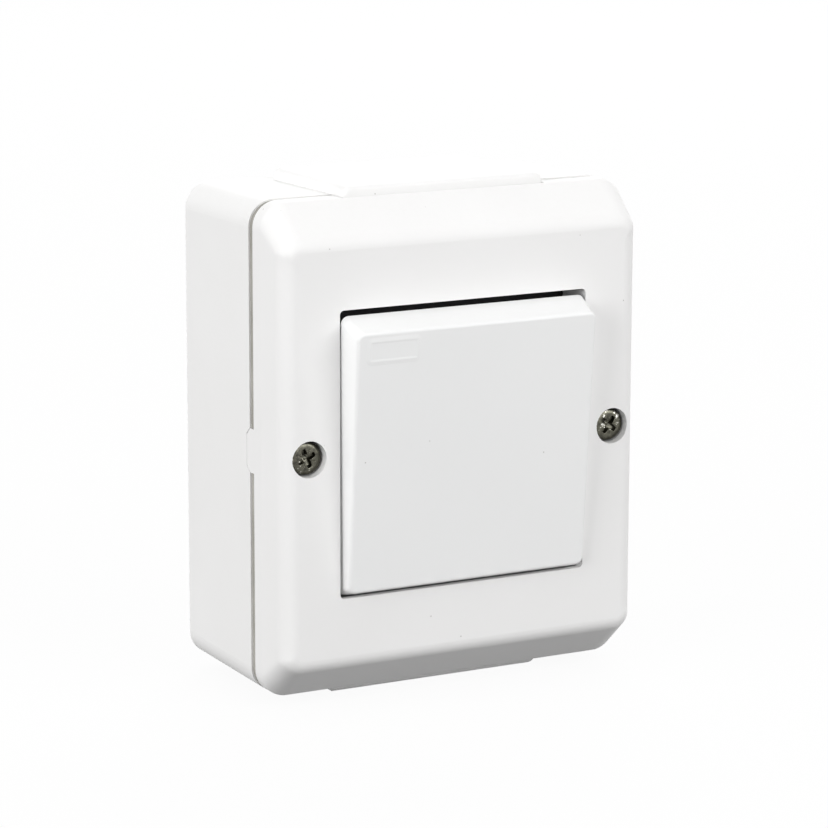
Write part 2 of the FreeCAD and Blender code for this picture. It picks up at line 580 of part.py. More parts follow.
def make_base_box():
    body = new_body("base_box")
    loft(body, "PartDesign::AdditiveLoft", [
        ("0", f"{HALF_WIDTH} - base_draft", f"{HALF_HEIGHT} - base_draft", "corner_radius"),
        ("base_depth", HALF_WIDTH, HALF_HEIGHT, "corner_radius"),
    ])
    # The upper pad ends in a lip that keeps the rain off the seal and fills the cover's notch
    sketch = sketch_on(body, "YZ_Plane")
    draw_box(sketch, f"-{LIP}", "-pad_back", f"{HALF_HEIGHT} - pad_lip", f"{HALF_HEIGHT} + top_pad_proud")
    pad(body, sketch, "top_pad_width", centred=True)
    top = size(f"{HALF_HEIGHT} + top_pad_proud")
    half_pad = size("top_pad_width / 2")
    round_edges(
        body, "top_pad_radius",
        lambda middle, span: abs(middle.z - top) < 0.01 and abs(abs(middle.x) - half_pad) < 0.01,
    )
    round_edges(
        body, "top_pad_radius / 2",
        lambda middle, span: abs(middle.z - top) < 0.01 and abs(middle.x) < 0.01,
    )
    # The lower pad carries the cable entry
    sketch = sketch_on(body, "YZ_Plane")
    foot = f"-{HALF_HEIGHT} - bottom_pad_proud"
    draw_box(sketch, "-base_depth - bottom_pad_front", "-pad_back", foot, f"-{HALF_HEIGHT}")
    pad(body, sketch, "bottom_pad_width", centred=True)
    sketch = sketch_on(body, "YZ_Plane")
    draw_box(sketch, "-base_depth", "-pad_back", f"-{HALF_HEIGHT}", f"-{HALF_HEIGHT} + wall / 2")
    pad(body, sketch, "bottom_pad_width", centred=True)
    bottom = -size(f"{HALF_HEIGHT} + bottom_pad_proud")
    round_edges(body, "bottom_pad_radius", lambda middle, span: abs(middle.z - bottom) < 0.01)
    sketch = sketch_on(body, "XZ_Plane", "base_depth")
    draw_rounded(sketch, CAVITY_WIDTH, CAVITY_HEIGHT, CAVITY_RADIUS)
    pocket(body, sketch, "base_depth - back_wall")
    cut_tab_notches(body)
    # Posts under the cover's screws, the mechanism and the raised rings of the wall screws
    sketch = sketch_on(body, "XZ_Plane", "back_wall")
    for sign in ("-", ""):
        draw_circle(sketch, f"{sign}{SCREW_PLACE}", "0", "post_radius")
    pad(body, sketch, "base_depth - back_wall")
    sketch = sketch_on(body, "XZ_Plane", "back_wall")
    for sign in ("-", ""):
        draw_circle(sketch, f"{sign}{FIXING_PLACE}", "0", "fixing_post_radius")
    pad(body, sketch, f"{HOUSING_BACK} - back_wall")
    sketch = sketch_on(body, "XZ_Plane", "back_wall")
    for across in ("-", ""):
        for up in ("-", ""):
            place = (f"{across}{WALL_HOLE_ACROSS}", f"{up}{WALL_HOLE_UP}")
            draw_circle(sketch, *place, "wall_boss_radius")
    pad(body, sketch, "wall_boss_height")
    # Two cheeks that hold the earth terminal
    half, half_length = "(earth_size / 2 + earth_gap)", "earth_length / 2"
    for inner in (f"-{EARTH_PLACE} - {half} - earth_cheek", f"-{EARTH_PLACE} + {half}"):
        sketch = sketch_on(body, "XZ_Plane", "back_wall")
        low, high = f"-{EARTH_DOWN} - {half_length}", f"-{EARTH_DOWN} + {half_length}"
        draw_box(sketch, inner, f"{inner} + earth_cheek", low, high)
        pad(body, sketch, "earth_size * 0.7")
    # Groove for the seal's rib
    sketch = sketch_on(body, "XZ_Plane", "base_depth")
    draw_around_cavity(sketch, "0.2")
    outer = "gasket_rib + 0.4"
    draw_around_cavity(sketch, outer)
    pocket(body, sketch, "gasket_rib_depth + 0.1")
    # Holes
    sketch = sketch_on(body, "XZ_Plane", "base_depth")
    for sign in ("-", ""):
        draw_circle(sketch, f"{sign}{SCREW_PLACE}", "0", "insert_radius")
    pocket(body, sketch, "insert_length")
    sketch = sketch_on(body, "XZ_Plane", "base_depth")
    for sign in ("-", ""):
        draw_circle(sketch, f"{sign}{SCREW_PLACE}", "0", "screw_hole / 2")
    pocket(body, sketch, "base_depth - back_wall - 2")
    sketch = sketch_on(body, "XZ_Plane", HOUSING_BACK)
    for sign in ("-", ""):
        draw_circle(sketch, f"{sign}{FIXING_PLACE}", "0", "fixing_screw / 2")
    pocket(body, sketch, f"{HOUSING_BACK} - back_wall")
    sketch = sketch_on(body, "XZ_Plane", "back_wall + wall_boss_height")
    for across in ("-", ""):
        for up in ("-", ""):
            place = (f"{across}{WALL_HOLE_ACROSS}", f"{up}{WALL_HOLE_UP}")
            draw_circle(sketch, *place, "wall_hole / 2")
    pocket(body, sketch, "back_wall + wall_boss_height + 1")
    # The cable entry below, and the groove that makes the blind one above easy to knock out
    sketch = sketch_on(body, "XY_Plane", f"-{HALF_HEIGHT} - bottom_pad_proud")
    draw_circle(sketch, "0", f"-{ENTRY_DEPTH}", ENTRY_RADIUS)
    pocket(body, sketch, "wall + bottom_pad_proud + 1", turned=True)
    sketch = sketch_on(body, "XY_Plane", f"{CAVITY_HEIGHT} - 1")
    draw_circle(sketch, "0", f"-{ENTRY_DEPTH}", ENTRY_RADIUS)
    draw_circle(sketch, "0", f"-{ENTRY_DEPTH}", f"{ENTRY_RADIUS} - knockout_groove")
    pocket(body, sketch, "1 + wall + top_pad_proud - knockout_web", turned=True)
    return body


def make_cover_gasket():
    body = new_body("cover_gasket")
    sketch = sketch_on(body, "XZ_Plane", "base_depth")
    inset = "gasket_inset"
    draw_rounded(sketch, f"{HALF_WIDTH} - {inset}", f"{HALF_HEIGHT} - {inset}", f"corner_radius - {inset}")
    draw_rounded(sketch, CAVITY_WIDTH, CAVITY_HEIGHT, CAVITY_RADIUS)
    pad(body, sketch, "gasket_gap")
    sketch = sketch_on(body, "XZ_Plane", "base_depth")
    draw_around_cavity(sketch, "0.3")
    outer = "gasket_rib + 0.3"
    draw_around_cavity(sketch, outer)
    pad(body, sketch, "gasket_rib_depth", turned=True)
    # Room for the lip of the upper pad
    sketch = sketch_on(body, "XZ_Plane", RIM)
    draw_lip_room(sketch)
    pocket(body, sketch, "gasket_gap")
    cut_tab_notches(body)
    return body


# The cover

def make_front_cover():
    body = new_body("front_cover")
    loft(body, "PartDesign::AdditiveLoft", [
        (RIM, HALF_WIDTH, HALF_HEIGHT, "corner_radius"),
        (BEVEL, HALF_WIDTH, HALF_HEIGHT, "corner_radius"),
        (FRONT, f"{HALF_WIDTH} - side_draft", f"{HALF_HEIGHT} - bevel_drop", "front_corner_radius"),
    ])
    front, bevel = -size(FRONT), -size(BEVEL)
    round_edges(body, "front_edge_radius", lambda middle, span: abs(middle.y - front) < 0.01)
    round_edges(body, "bevel_edge_radius", lambda middle, span: abs(middle.y - bevel) < 0.01)
    slope = "bevel_drop / bevel_depth"
    loft(body, "PartDesign::SubtractiveLoft", [
        (RIM, CAVITY_WIDTH, CAVITY_HEIGHT, CAVITY_RADIUS),
        (f"{BEVEL} - (bevel_wall - wall) / ({slope})", CAVITY_WIDTH, CAVITY_HEIGHT, CAVITY_RADIUS),
        (
            INSIDE,
            f"{CAVITY_WIDTH} - side_draft",
            f"{HALF_HEIGHT} - bevel_drop + front_wall * {slope} - bevel_wall",
            CAVITY_RADIUS,
        ),
    ])
    for place in (f"-{HALF_WIDTH}", f"{HALF_WIDTH} - tab_thickness"):
        sketch = sketch_on(body, "YZ_Plane", place)
        draw_tab(sketch, "0")
        pad(body, sketch, "tab_thickness")
    # Collar behind the window, and bosses for the screws of the cover and of the membrane's frame
    wide, high = WINDOW_WIDE, WINDOW_HIGH
    inner_high = f"({high} + window_flare + 0.2)"
    sketch = sketch_on(body, "XZ_Plane", COLLAR)
    collar = [f"{side} + collar_wall" for side in (wide, inner_high, "window_radius")]
    draw_rounded(sketch, *collar)
    draw_rounded(sketch, wide, inner_high, "window_radius")
    pad(body, sketch, f"{INSIDE} - {COLLAR} + 0.1")
    sketch = sketch_on(body, "XZ_Plane", RIM)
    for sign in ("-", ""):
        draw_circle(sketch, f"{sign}{SCREW_PLACE}", "0", "boss_radius")
    pad(body, sketch, f"{INSIDE} - {RIM} + 0.1")
    sketch = sketch_on(body, "XZ_Plane", "base_depth + seat_gap")
    for sign in ("-", ""):
        draw_circle(sketch, f"{sign}{SCREW_PLACE}", "0", "stop_radius")
    pad(body, sketch, f"{RIM} - base_depth + 0.1")
    sketch = sketch_on(body, "XZ_Plane", FRAME_FRONT)
    for across in ("-", ""):
        for up in ("-", ""):
            place = (f"{across}{FRAME_SCREW_ACROSS}", f"{up}{FRAME_SCREW_UP}")
            draw_circle(sketch, *place, "frame_boss_radius")
    pad(body, sketch, f"{INSIDE} - {FRAME_FRONT} + 0.1")
    # Window: a straight land at the front, then it opens out so that the rocker can swing
    sketch = sketch_on(body, "XZ_Plane", FRONT)
    draw_rounded(sketch, wide, high, "window_radius")
    pocket(body, sketch, "front_wall + 0.5")
    loft(body, "PartDesign::SubtractiveLoft", [
        (f"{INSIDE} - 0.1", wide, f"{high} + window_flare", "window_radius"),
        (f"{FRONT} - window_land", wide, high, "window_radius"),
    ])
    # Screw holes
    sketch = sketch_on(body, "XZ_Plane", FRONT)
    for sign in ("-", ""):
        draw_circle(sketch, f"{sign}{SCREW_PLACE}", "0", "counterbore / 2")
    pocket(body, sketch, "counterbore_depth")
    sketch = sketch_on(body, "XZ_Plane", FRONT)
    for sign in ("-", ""):
        draw_circle(sketch, f"{sign}{SCREW_PLACE}", "0", "screw_hole / 2")
    pocket(body, sketch, f"{FRONT} - base_depth")
    sketch = sketch_on(body, "XZ_Plane", FRAME_FRONT)
    for across in ("-", ""):
        for up in ("-", ""):
            place = (f"{across}{FRAME_SCREW_ACROSS}", f"{up}{FRAME_SCREW_UP}")
            draw_circle(sketch, *place, "frame_screw / 2")
    pocket(body, sketch, "5", turned=True)
    # Notch for the lip of the upper pad
    sketch = sketch_on(body, "XZ_Plane", RIM)
    draw_lip_room(sketch)
    pocket(body, sketch, "rim_depth", turned=True)
    return body


# The rocker turns as one with its cradle; both are drawn upright about the rocker axis and then tilted

def tilt_at_pivot(item):
    item.Placement.Rotation = FreeCAD.Rotation(FreeCAD.Vector(1, 0, 0), size("rest_tilt"))
    bind(item, "Placement.Rotation.Angle", "rest_tilt * 1deg")
    bind(item, "Placement.Base.y", f"-{PIVOT}")


def make_rocker_key():
    body = new_body("rocker_key")
    rim = f"({KEY_REACH} - key_depth)"
    face = (KEY_REACH, KEY_WIDE, KEY_HIGH, "key_radius")
    loft(body, "PartDesign::AdditiveLoft", [
        (rim, f"{KEY_WIDE} + key_side_flare", f"{KEY_HIGH} + key_end_flare", "key_radius"),
        face,
    ])
    front = -size(KEY_REACH)
    round_edges(body, "key_edge_radius", lambda middle, span: abs(middle.y - front) < 0.01)
    inner_radius = "key_radius * 0.5"
    ceiling = f"({KEY_REACH} - key_wall)"
    loft(body, "PartDesign::SubtractiveLoft", [
        (
            rim,
            f"{KEY_WIDE} + key_side_flare - key_wall",
            f"{KEY_HIGH} + key_end_flare - key_wall",
            inner_radius,
        ),
        (
            ceiling,
            f"{KEY_WIDE} + key_side_flare * key_wall / key_depth - key_wall",
            f"{KEY_HIGH} + key_end_flare * key_wall / key_depth - key_wall",
            inner_radius,
        ),
    ])
    # Stiffening ribs inside the face, beside the stem
    for sign in ("-", ""):
        sketch = sketch_on(body, "XZ_Plane", f"{ceiling} - 1.6")
        across = f"{sign}(stem_width / 2 + 3)"
        reach = f"({KEY_HIGH} - key_wall + 0.5)"
        draw_box(sketch, f"{across} - 0.6", f"{across} + 0.6", f"-{reach}", reach)
        pad(body, sketch, "1.7")
    # Two clip legs that reach into the stem and hook into its windows
    outer = "(stem_height / 2 - stem_wall - 0.1)"
    for turn, sign in (("upper", ""), ("lower", "-")):
        sketch = sketch_on(body, "YZ_Plane")
        draw_polygon(sketch, [
            (f"-{ceiling} - 0.1", f"{sign}({outer} - leg_thickness)"),
            ("-leg_reach", f"{sign}({outer} - leg_thickness)"),
            ("-leg_reach", f"{sign}({outer})"),
            ("-leg_reach - 1.0", f"{sign}({outer} + leg_barb)"),
            ("-leg_reach - 1.5", f"{sign}({outer} + leg_barb)"),
            ("-leg_reach - 1.5", f"{sign}({outer})"),
            (f"-{ceiling} - 0.1", f"{sign}({outer})"),
        ])
        pad(body, sketch, "leg_width", centred=True)
    tilt_at_pivot(body)
    return body


def make_rocker_cradle():
    body = new_body("rocker_cradle")
    sketch = sketch_on(body, "XZ_Plane", "-cradle_back")
    draw_rounded(sketch, CRADLE_WIDE, "cradle_height / 2", "1.5")
    pad(body, sketch, "cradle_front + cradle_back")
    sketch = sketch_on(body, "XZ_Plane", "cradle_front")
    draw_rounded(sketch, "stem_width / 2", "stem_height / 2", "0.8")
    pad(body, sketch, f"{STEM_REACH} - cradle_front")
    sketch = sketch_on(body, "XZ_Plane", STEM_REACH)
    draw_box(
        sketch,
        "-stem_width / 2 + stem_wall", "stem_width / 2 - stem_wall",
        "-stem_height / 2 + stem_wall", "stem_height / 2 - stem_wall",
    )
    pocket(body, sketch, f"{STEM_REACH} - cradle_front - 1")
    # Windows for the hooks of the rocker's legs
    sketch = sketch_on(body, "XZ_Plane")
    sketch.AttachmentSupport = [(next(p for p in body.Origin.OriginFeatures if p.Role == "XY_Plane"), "")]
    bind(sketch, "AttachmentOffset.Base.z", "0 - stem_height")
    draw_box(sketch, "-leg_width / 2 - 0.3", "leg_width / 2 + 0.3", "-leg_reach - 1.8", "-leg_reach + 0.3")
    pocket(body, sketch, "2 * stem_height", turned=True)
    # Trunnions and the tube of the plunger
    sketch = sketch_on(body, "YZ_Plane")
    draw_circle(sketch, "0", "0", "trunnion_radius")
    pad(body, sketch, f"2 * ({HOUSING_WIDE} - trunnion_play)", centred=True)
    sketch = sketch_on(body, "XZ_Plane", f"-{TUBE_REACH}")
    draw_circle(sketch, "0", "0", "tube_radius")
    pad(body, sketch, TUBE_REACH)
    sketch = sketch_on(body, "XZ_Plane", f"-{TUBE_REACH}")
    draw_circle(sketch, "0", "0", "plunger_radius + running_fit")
    pocket(body, sketch, f"{TUBE_REACH} + bore_top", turned=True)
    tilt_at_pivot(body)
    return body


# A cup with a round tip, open to the front for the spring
def make_plunger():
    body = new_body("plunger")
    sketch = sketch_on(body, "YZ_Plane")
    inner = "(plunger_radius - plunger_wall)"
    floor = f"({PLUNGER_TIP} - 2.4)"
    shoulder = f"({PLUNGER_TIP} - plunger_tip_radius - 1.2)"
    nose = f"({PLUNGER_TIP} - plunger_tip_radius * 0.3)"
    draw_polygon(sketch, [
        ("plunger_start", inner),
        (floor, inner),
        (floor, "0"),
        (PLUNGER_TIP, "0"),
        (PLUNGER_TIP, "plunger_tip_radius * 0.45"),
        (nose, "plunger_tip_radius * 0.85"),
        (f"{nose} - 0.7", "plunger_tip_radius"),
        (shoulder, "plunger_radius"),
        ("plunger_start", "plunger_radius"),
    ])
    revolve(body, "PartDesign::Revolution", sketch, "H_Axis")
    tilt_at_pivot(body)
    return body


# The coil spring between the bore's floor and the plunger's cup
def make_plunger_spring():
    item = doc.addObject("Part::Feature", "plunger_spring")
    item.Label = "plunger_spring"
    wire_radius = size("spring_wire / 2")
    radius = size("spring_radius")
    start = -size("bore_top") + wire_radius + 0.05
    end = size(f"{PLUNGER_TIP} - 2.4") - wire_radius - 0.05
    helix = Part.makeHelix((end - start) / size("spring_turns"), end - start, radius)
    section = Part.Wire(Part.makeCircle(wire_radius, FreeCAD.Vector(radius, 0, 0), FreeCAD.Vector(0, 1, 0)))
    coil = Part.Solid(Part.Wire(helix.Edges).makePipeShell([section], True, True))
    # The coil is wound about Z: laid along the plunger, it starts at the floor of the bore
    turn = FreeCAD.Placement(FreeCAD.Vector(0, start, 0), FreeCAD.Rotation(FreeCAD.Vector(1, 0, 0), -90))
    item.Shape = coil.transformGeometry(turn.toMatrix())
    tilt_at_pivot(item)
    return item


# The rubber membrane and the frame that clamps it

def make_window_membrane():
    body = new_body("window_membrane")
    wide, high = f"({OPENING_WIDE} - 0.3)", f"({OPENING_HIGH} - 0.3)"
    sketch = sketch_on(body, "XZ_Plane", FRAME_FRONT)
    draw_rounded(sketch, MEMBRANE_WIDE, MEMBRANE_HIGH, "2")
    pad(body, sketch, f"{COLLAR} - {FRAME_FRONT}")
    loft(body, "PartDesign::AdditiveLoft", [
        (f"{COLLAR} - 0.1", wide, high, "3"),
        (f"{COLLAR} + membrane_rise", f"{wide} - 1", f"{high} - 1", "3"),
    ])
    sheet = "membrane_sheet"
    loft(body, "PartDesign::SubtractiveLoft", [
        (FRAME_FRONT, f"{wide} - {sheet}", f"{high} - {sheet}", "2.2"),
        (SHEET_BACK, f"{wide} - {sheet} - 1", f"{high} - {sheet} - 1", "2.2"),
    ])
    gap_wide, gap_high = "(stem_width / 2 + stem_play_side)", "(stem_height / 2 + stem_play_end)"
    sketch = sketch_on(body, "XZ_Plane", SHEET_BACK)
    draw_rounded(sketch, f"{gap_wide} + {sheet}", f"{gap_high} + {sheet}", "1.6")
    pad(body, sketch, f"{sheet} + membrane_lip")
    sketch = sketch_on(body, "XZ_Plane", f"{SHEET_BACK} + {sheet} + membrane_lip")
    draw_rounded(sketch, gap_wide, gap_high, "0.8")
    pocket(body, sketch, f"{sheet} + membrane_lip + 1")
    return body


def make_membrane_frame():
    body = new_body("membrane_frame")
    sketch = sketch_on(body, "XZ_Plane", FRAME_BACK)
    draw_rounded(sketch, MEMBRANE_WIDE, FRAME_HIGH, "3")
    draw_rounded(sketch, OPENING_WIDE, OPENING_HIGH, "3")
    pad(body, sketch, "frame_thickness")
    sketch = sketch_on(body, "XZ_Plane", FRAME_FRONT)
    for across in ("-", ""):
        for up in ("-", ""):
            place = (f"{across}{FRAME_SCREW_ACROSS}", f"{up}{FRAME_SCREW_UP}")
            draw_circle(sketch, *place, "frame_screw / 2 + 0.15")
    pocket(body, sketch, "frame_thickness")
    return body


# The grommet of the cable entry, turned about an upright axis
def make_entry_grommet():
    body = new_body("entry_grommet")
    sketch = sketch_on(body, "YZ_Plane")
    radius = f"({ENTRY_RADIUS} - rubber_fit)"
    outer = f"(-{HALF_HEIGHT} - bottom_pad_proud + grommet_recess)"
    seat = f"(-{CAVITY_HEIGHT} + rubber_fit)"
    top = f"({seat} + grommet_flange)"
    draw_polygon(sketch, [
        ("0", f"{outer} + 0.8"),
        (f"{radius} * 0.45", f"{outer} + 0.8"),
        (f"{radius} * 0.62", outer),
        (radius, outer),
        (radius, seat),
        (f"{radius} + grommet_overlap", seat),
        (f"{radius} + grommet_overlap", top),
        (f"{radius} * 0.72", top),
        (f"{radius} * 0.72", f"{outer} + grommet_skin + 0.2"),
        (f"{radius} * 0.5", f"{outer} + grommet_skin + 0.8"),
        ("0", f"{outer} + grommet_skin + 0.8"),
    ])
    revolve(body, "PartDesign::Revolution", sketch, "V_Axis")
    bind(body, "Placement.Base.y", f"-{ENTRY_DEPTH}")
    return body


# The mechanism

def make_mechanism_housing():
    body = new_body("mechanism_housing")
    half_width, half_height = HOUSING_WIDE, HOUSING_HIGH
    sketch = sketch_on(body, "XZ_Plane", HOUSING_BACK)
    draw_rounded(sketch, half_width, half_height, "housing_radius")
    pad(body, sketch, f"{HOUSING_FRONT} - {HOUSING_BACK}")
    sketch = sketch_on(body, "XZ_Plane", HOUSING_BACK)
    draw_rounded(sketch, FLANGE_REACH, "flange_height / 2", "housing_radius")
    pad(body, sketch, "flange_thickness")
    # Ears with an open bearing for each trunnion
    for sign in ("-", ""):
        sketch = sketch_on(body, "XZ_Plane", HOUSING_BACK)
        inner = f"{sign}({half_width} - ear_thickness)"
        draw_box(sketch, inner, f"{sign}({half_width})", "-ear_height / 2", "ear_height / 2")
        pad(body, sketch, f"{PIVOT} + ear_front - {HOUSING_BACK}")
    sketch = sketch_on(body, "YZ_Plane")
    draw_circle(sketch, f"-{PIVOT}", "0", "trunnion_radius + running_fit")
    pocket(body, sketch, f"2 * {HOUSING_WIDE} + 2", centred=True)
    sketch = sketch_on(body, "YZ_Plane")
    draw_box(sketch, f"-{PIVOT} - ear_front - 1", f"-{PIVOT}", "-ear_slot / 2", "ear_slot / 2")
    pocket(body, sketch, f"2 * {HOUSING_WIDE} + 2", centred=True)
    # Contact chamber, with a side arm for the common strip
    sketch = sketch_on(body, "XZ_Plane", HOUSING_FRONT)
    draw_box(sketch, f"-{CHAMBER_WIDE}", CHAMBER_WIDE, f"-{CHAMBER_HIGH}", CHAMBER_HIGH)
    pocket(body, sketch, f"{HOUSING_FRONT} - {FLOOR}")
    arm = f"({COMMON_PLACE} + {SLOT})"
    sketch = sketch_on(body, "XZ_Plane", HOUSING_FRONT)
    draw_box(sketch, "0", arm, f"-{SLOT}", SLOT)
    pocket(body, sketch, f"{HOUSING_FRONT} - {FLOOR}")
    # Wells for the terminal screws and channels for wires and strips
    for across, up in (("0", TERMINAL_PLACE), ("0", f"-{TERMINAL_PLACE}"), (COMMON_PLACE, TERMINAL_PLACE)):
        sketch = sketch_on(body, "XZ_Plane", HOUSING_FRONT)
        draw_box(
            sketch,
            f"{across} - {WELL_WIDE}", f"{across} + {WELL_WIDE}",
            f"{up} - {WELL_HIGH}", f"{up} + {WELL_HIGH}",
        )
        pocket(body, sketch, f"{HOUSING_FRONT} - {FLOOR}")
    for across, low in (("0", f"-{half_height} - 1"), (COMMON_PLACE, f"-{SLOT}")):
        sketch = sketch_on(body, "XZ_Plane", f"{FLOOR} + slot_depth")
        draw_box(sketch, f"{across} - {SLOT}", f"{across} + {SLOT}", low, f"{half_height} + 1")
        feature = body.newObject("PartDesign::Pocket", "mechanism_housing_channel")
        feature.Profile = sketch
        bind(feature, "Length", "slot_depth")
        body.Tip = feature
    # Pegs for the lid, and holes in the flanges
    sketch = sketch_on(body, "XZ_Plane", f"{HOUSING_FRONT} - 0.5")
    for across in ("-", ""):
        for up in ("-", ""):
            draw_circle(sketch, f"{across}{PEG_ACROSS}", f"{up}{PEG_UP}", "peg_radius")
    pad(body, sketch, "0.5 + lid_thickness + 0.3")
    sketch = sketch_on(body, "XZ_Plane", f"{HOUSING_BACK} + flange_thickness")
    for sign in ("-", ""):
        draw_circle(sketch, f"{sign}{FIXING_PLACE}", "0", "fixing_screw / 2 + 0.2")
    pocket(body, sketch, "flange_thickness")
    return body


def make_chamber_lid():
    body = new_body("chamber_lid")
    sketch = sketch_on(body, "XZ_Plane", HOUSING_FRONT)
    draw_rounded(sketch, LID_WIDE, LID_HIGH, "1.5")
    draw_circle(sketch, "0", "0", "tube_radius + lid_hole_gap")
    for across in ("-", ""):
        for up in ("-", ""):
            draw_circle(sketch, f"{across}{PEG_ACROSS}", f"{up}{PEG_UP}", "peg_radius + 0.05")
    pad(body, sketch, "lid_thickness")
    return body


# The blade rocks on the common terminal's knife edge, which is its origin
def make_contact_blade():
    body = new_body("contact_blade")
    sketch = sketch_on(body, "XZ_Plane")
    draw_rounded(sketch, "blade_width / 2", BLADE_HALF, "1")
    for sign in ("-", ""):
        draw_circle(sketch, "0", f"{sign}{CONTACT_PLACE}", "contact_shank")
    pad(body, sketch, "sheet_metal")
    tilt_blade(body)
    return body


def tilt_blade(item):
    item.Placement.Rotation = FreeCAD.Rotation(FreeCAD.Vector(-1, 0, 0), size("blade_tilt"))
    bind(item, "Placement.Rotation.Angle", "blade_tilt * 1deg")
    bind(item, "Placement.Base.y", f"-{BLADE_PIVOT}")


def make_moving_contacts():
    rivets = []
    for index, sign in enumerate(("-", "")):
        place = f"{sign}{CONTACT_PLACE}"
        low, high = "-moving_contact_head", "sheet_metal + 0.3"
        head = rod(f"moving_contact_head_{index}", "0", place, "contact_radius", low, "0")
        shank = rod(f"moving_contact_shank_{index}", "0", place, "contact_shank", low, high)
        rivets.append(fuse(f"moving_contact_{index}", [head, shank]))
    item = group("moving_contacts", rivets)
    tilt_blade(item)
    return item


# Terminal strips: flat brass with a tapped block at the end, where the screw's clamp bears

def tapped_block(name, across, up):
    return block(
        name,
        f"{across} - {STRIP}", f"{across} + {STRIP}",
        FLOOR, BLOCK_FRONT,
        f"{up} - block_height / 2", f"{up} + block_height / 2",
    )


def screw_bore(name, across, up):
    return rod(name, across, up, "terminal_screw / 2", f"{FLOOR} - 1", f"{BLOCK_FRONT} + 1")


def make_end_terminal(label, sign):
    place = f"{sign}{TERMINAL_PLACE}"
    inner = f"{sign}({CONTACT_PLACE} - contact_radius - 0.5)"
    low, high = (inner, place) if not sign else (place, inner)
    strip = block(label + "_strip", f"-{STRIP}", STRIP, FLOOR, STRIP_FRONT, low, high)
    rivet = f"{sign}{CONTACT_PLACE}"
    solid = fuse(label + "_solid", [strip, tapped_block(label + "_block", "0", place)])
    holes = [
        screw_bore(label + "_bore", "0", place),
        rod(label + "_rivet_hole", "0", rivet, "contact_shank", f"{FLOOR} - 1", f"{STRIP_FRONT} + 1"),
    ]
    item = cut(label, solid, holes)
    item.Label = label
    return item


def make_common_terminal():
    half = STRIP
    arm = block("common_arm", f"-{half}", f"{COMMON_PLACE} + {half}", FLOOR, STRIP_FRONT, f"-{half}", half)
    run = block(
        "common_run", f"{COMMON_PLACE} - {half}", f"{COMMON_PLACE} + {half}",
        FLOOR, STRIP_FRONT, f"-{half}", TERMINAL_PLACE,
    )
    # The knife edge is a folded-up tongue whose top is ground to an edge
    body = new_body("common_edge")
    sketch = sketch_on(body, "YZ_Plane")
    edge = f"({BLADE_PIVOT} - contact_play)"
    draw_polygon(sketch, [
        (f"-{FLOOR}", "-0.5"),
        (f"-{FLOOR}", "0.5"),
        (f"-{edge} + 0.8", "0.5"),
        (f"-{edge}", "0.1"),
        (f"-{edge}", "-0.1"),
        (f"-{edge} + 0.8", "-0.5"),
    ])
    pad(body, sketch, f"2 * {STRIP}", centred=True)
    end = tapped_block("common_block", COMMON_PLACE, TERMINAL_PLACE)
    solid = fuse("common_solid", [arm, run, body, end])
    item = cut("common_terminal", solid, [screw_bore("common_bore", COMMON_PLACE, TERMINAL_PLACE)])
    item.Label = "common_terminal"
    return item


def make_fixed_contacts():
    rivets = []
    for index, sign in enumerate(("-", "")):
        place = f"{sign}{CONTACT_PLACE}"
        head = rod(f"fixed_contact_head_{index}", "0", place, "contact_radius", STRIP_FRONT, CONTACT_FRONT)
        shank = rod(f"fixed_contact_shank_{index}", "0", place, "contact_shank", FLOOR, STRIP_FRONT)
        rivets.append(fuse(f"fixed_contact_{index}", [head, shank]))
    return group("fixed_contacts", rivets)


TERMINALS = (
    ("upper", "0", TERMINAL_PLACE),
    ("lower", "0", f"-{TERMINAL_PLACE}"),
    ("common", COMMON_PLACE, TERMINAL_PLACE),
)


def make_clamp_plates():
    plates = []
    for name, across, up in TERMINALS:
        plate = block(
            f"clamp_{name}_blank",
            f"{across} - {STRIP}", f"{across} + {STRIP}",
            BLOCK_FRONT, CLAMP_FRONT,
            f"{up} - block_height / 2", f"{up} + block_height / 2",
        )
        radius = "terminal_screw / 2 + 0.1"
        hole = rod(f"clamp_{name}_hole", across, up, radius, f"{BLOCK_FRONT} - 1", f"{CLAMP_FRONT} + 1")
        plates.append(cut(f"clamp_{name}", plate, [hole]))
    return group("clamp_plates", plates)


def make_terminal_screws():
    length = f"(clamp_thickness + block_depth - 0.3)"
    return group("terminal_screws", [
        screw(
            f"terminal_screw_{name}", across, up, CLAMP_FRONT,
            "terminal_screw", "terminal_head", "terminal_head_height", length,
        )
        for name, across, up in TERMINALS
    ])


def make_mechanism_screws():
    seat = f"({HOUSING_BACK} + flange_thickness)"
    length = f"{seat} - back_wall - fixing_tip_gap"
    return group("mechanism_screws", [
        screw(
            f"mechanism_screw_{name}", f"{sign}{FIXING_PLACE}", "0", seat,
            "fixing_screw", "fixing_head", "fixing_head_height", length,
        )
        for name, sign in (("left", "-"), ("right", ""))
    ])


# The earth terminal stands between the two cheeks on the back wall, its wire bore upright

def make_earth_terminal():
    half, half_length = "earth_size / 2", "earth_length / 2"
    low, high = f"-{EARTH_DOWN} - {half_length}", f"-{EARTH_DOWN} + {half_length}"
    solid = block(
        "earth_block", f"-{EARTH_PLACE} - {half}", f"-{EARTH_PLACE} + {half}",
        "back_wall", "back_wall + earth_size", low, high,
    )
    bore = "back_wall + earth_size * 0.45"
    middle = f"-{EARTH_PLACE}"
    holes = [upright_rod("earth_wire_bore", middle, bore, "earth_bore / 2", f"{low} - 1", f"{high} + 1")]
    for index, sign in enumerate(("-", "+")):
        place = f"-{EARTH_DOWN} {sign} earth_length / 4"
        top = "back_wall + earth_size + 1"
        holes.append(rod(f"earth_screw_bore_{index}", middle, place, "terminal_screw / 2", bore, top))
    item = cut("earth_terminal", solid, holes)
    item.Label = "earth_terminal"
    return item


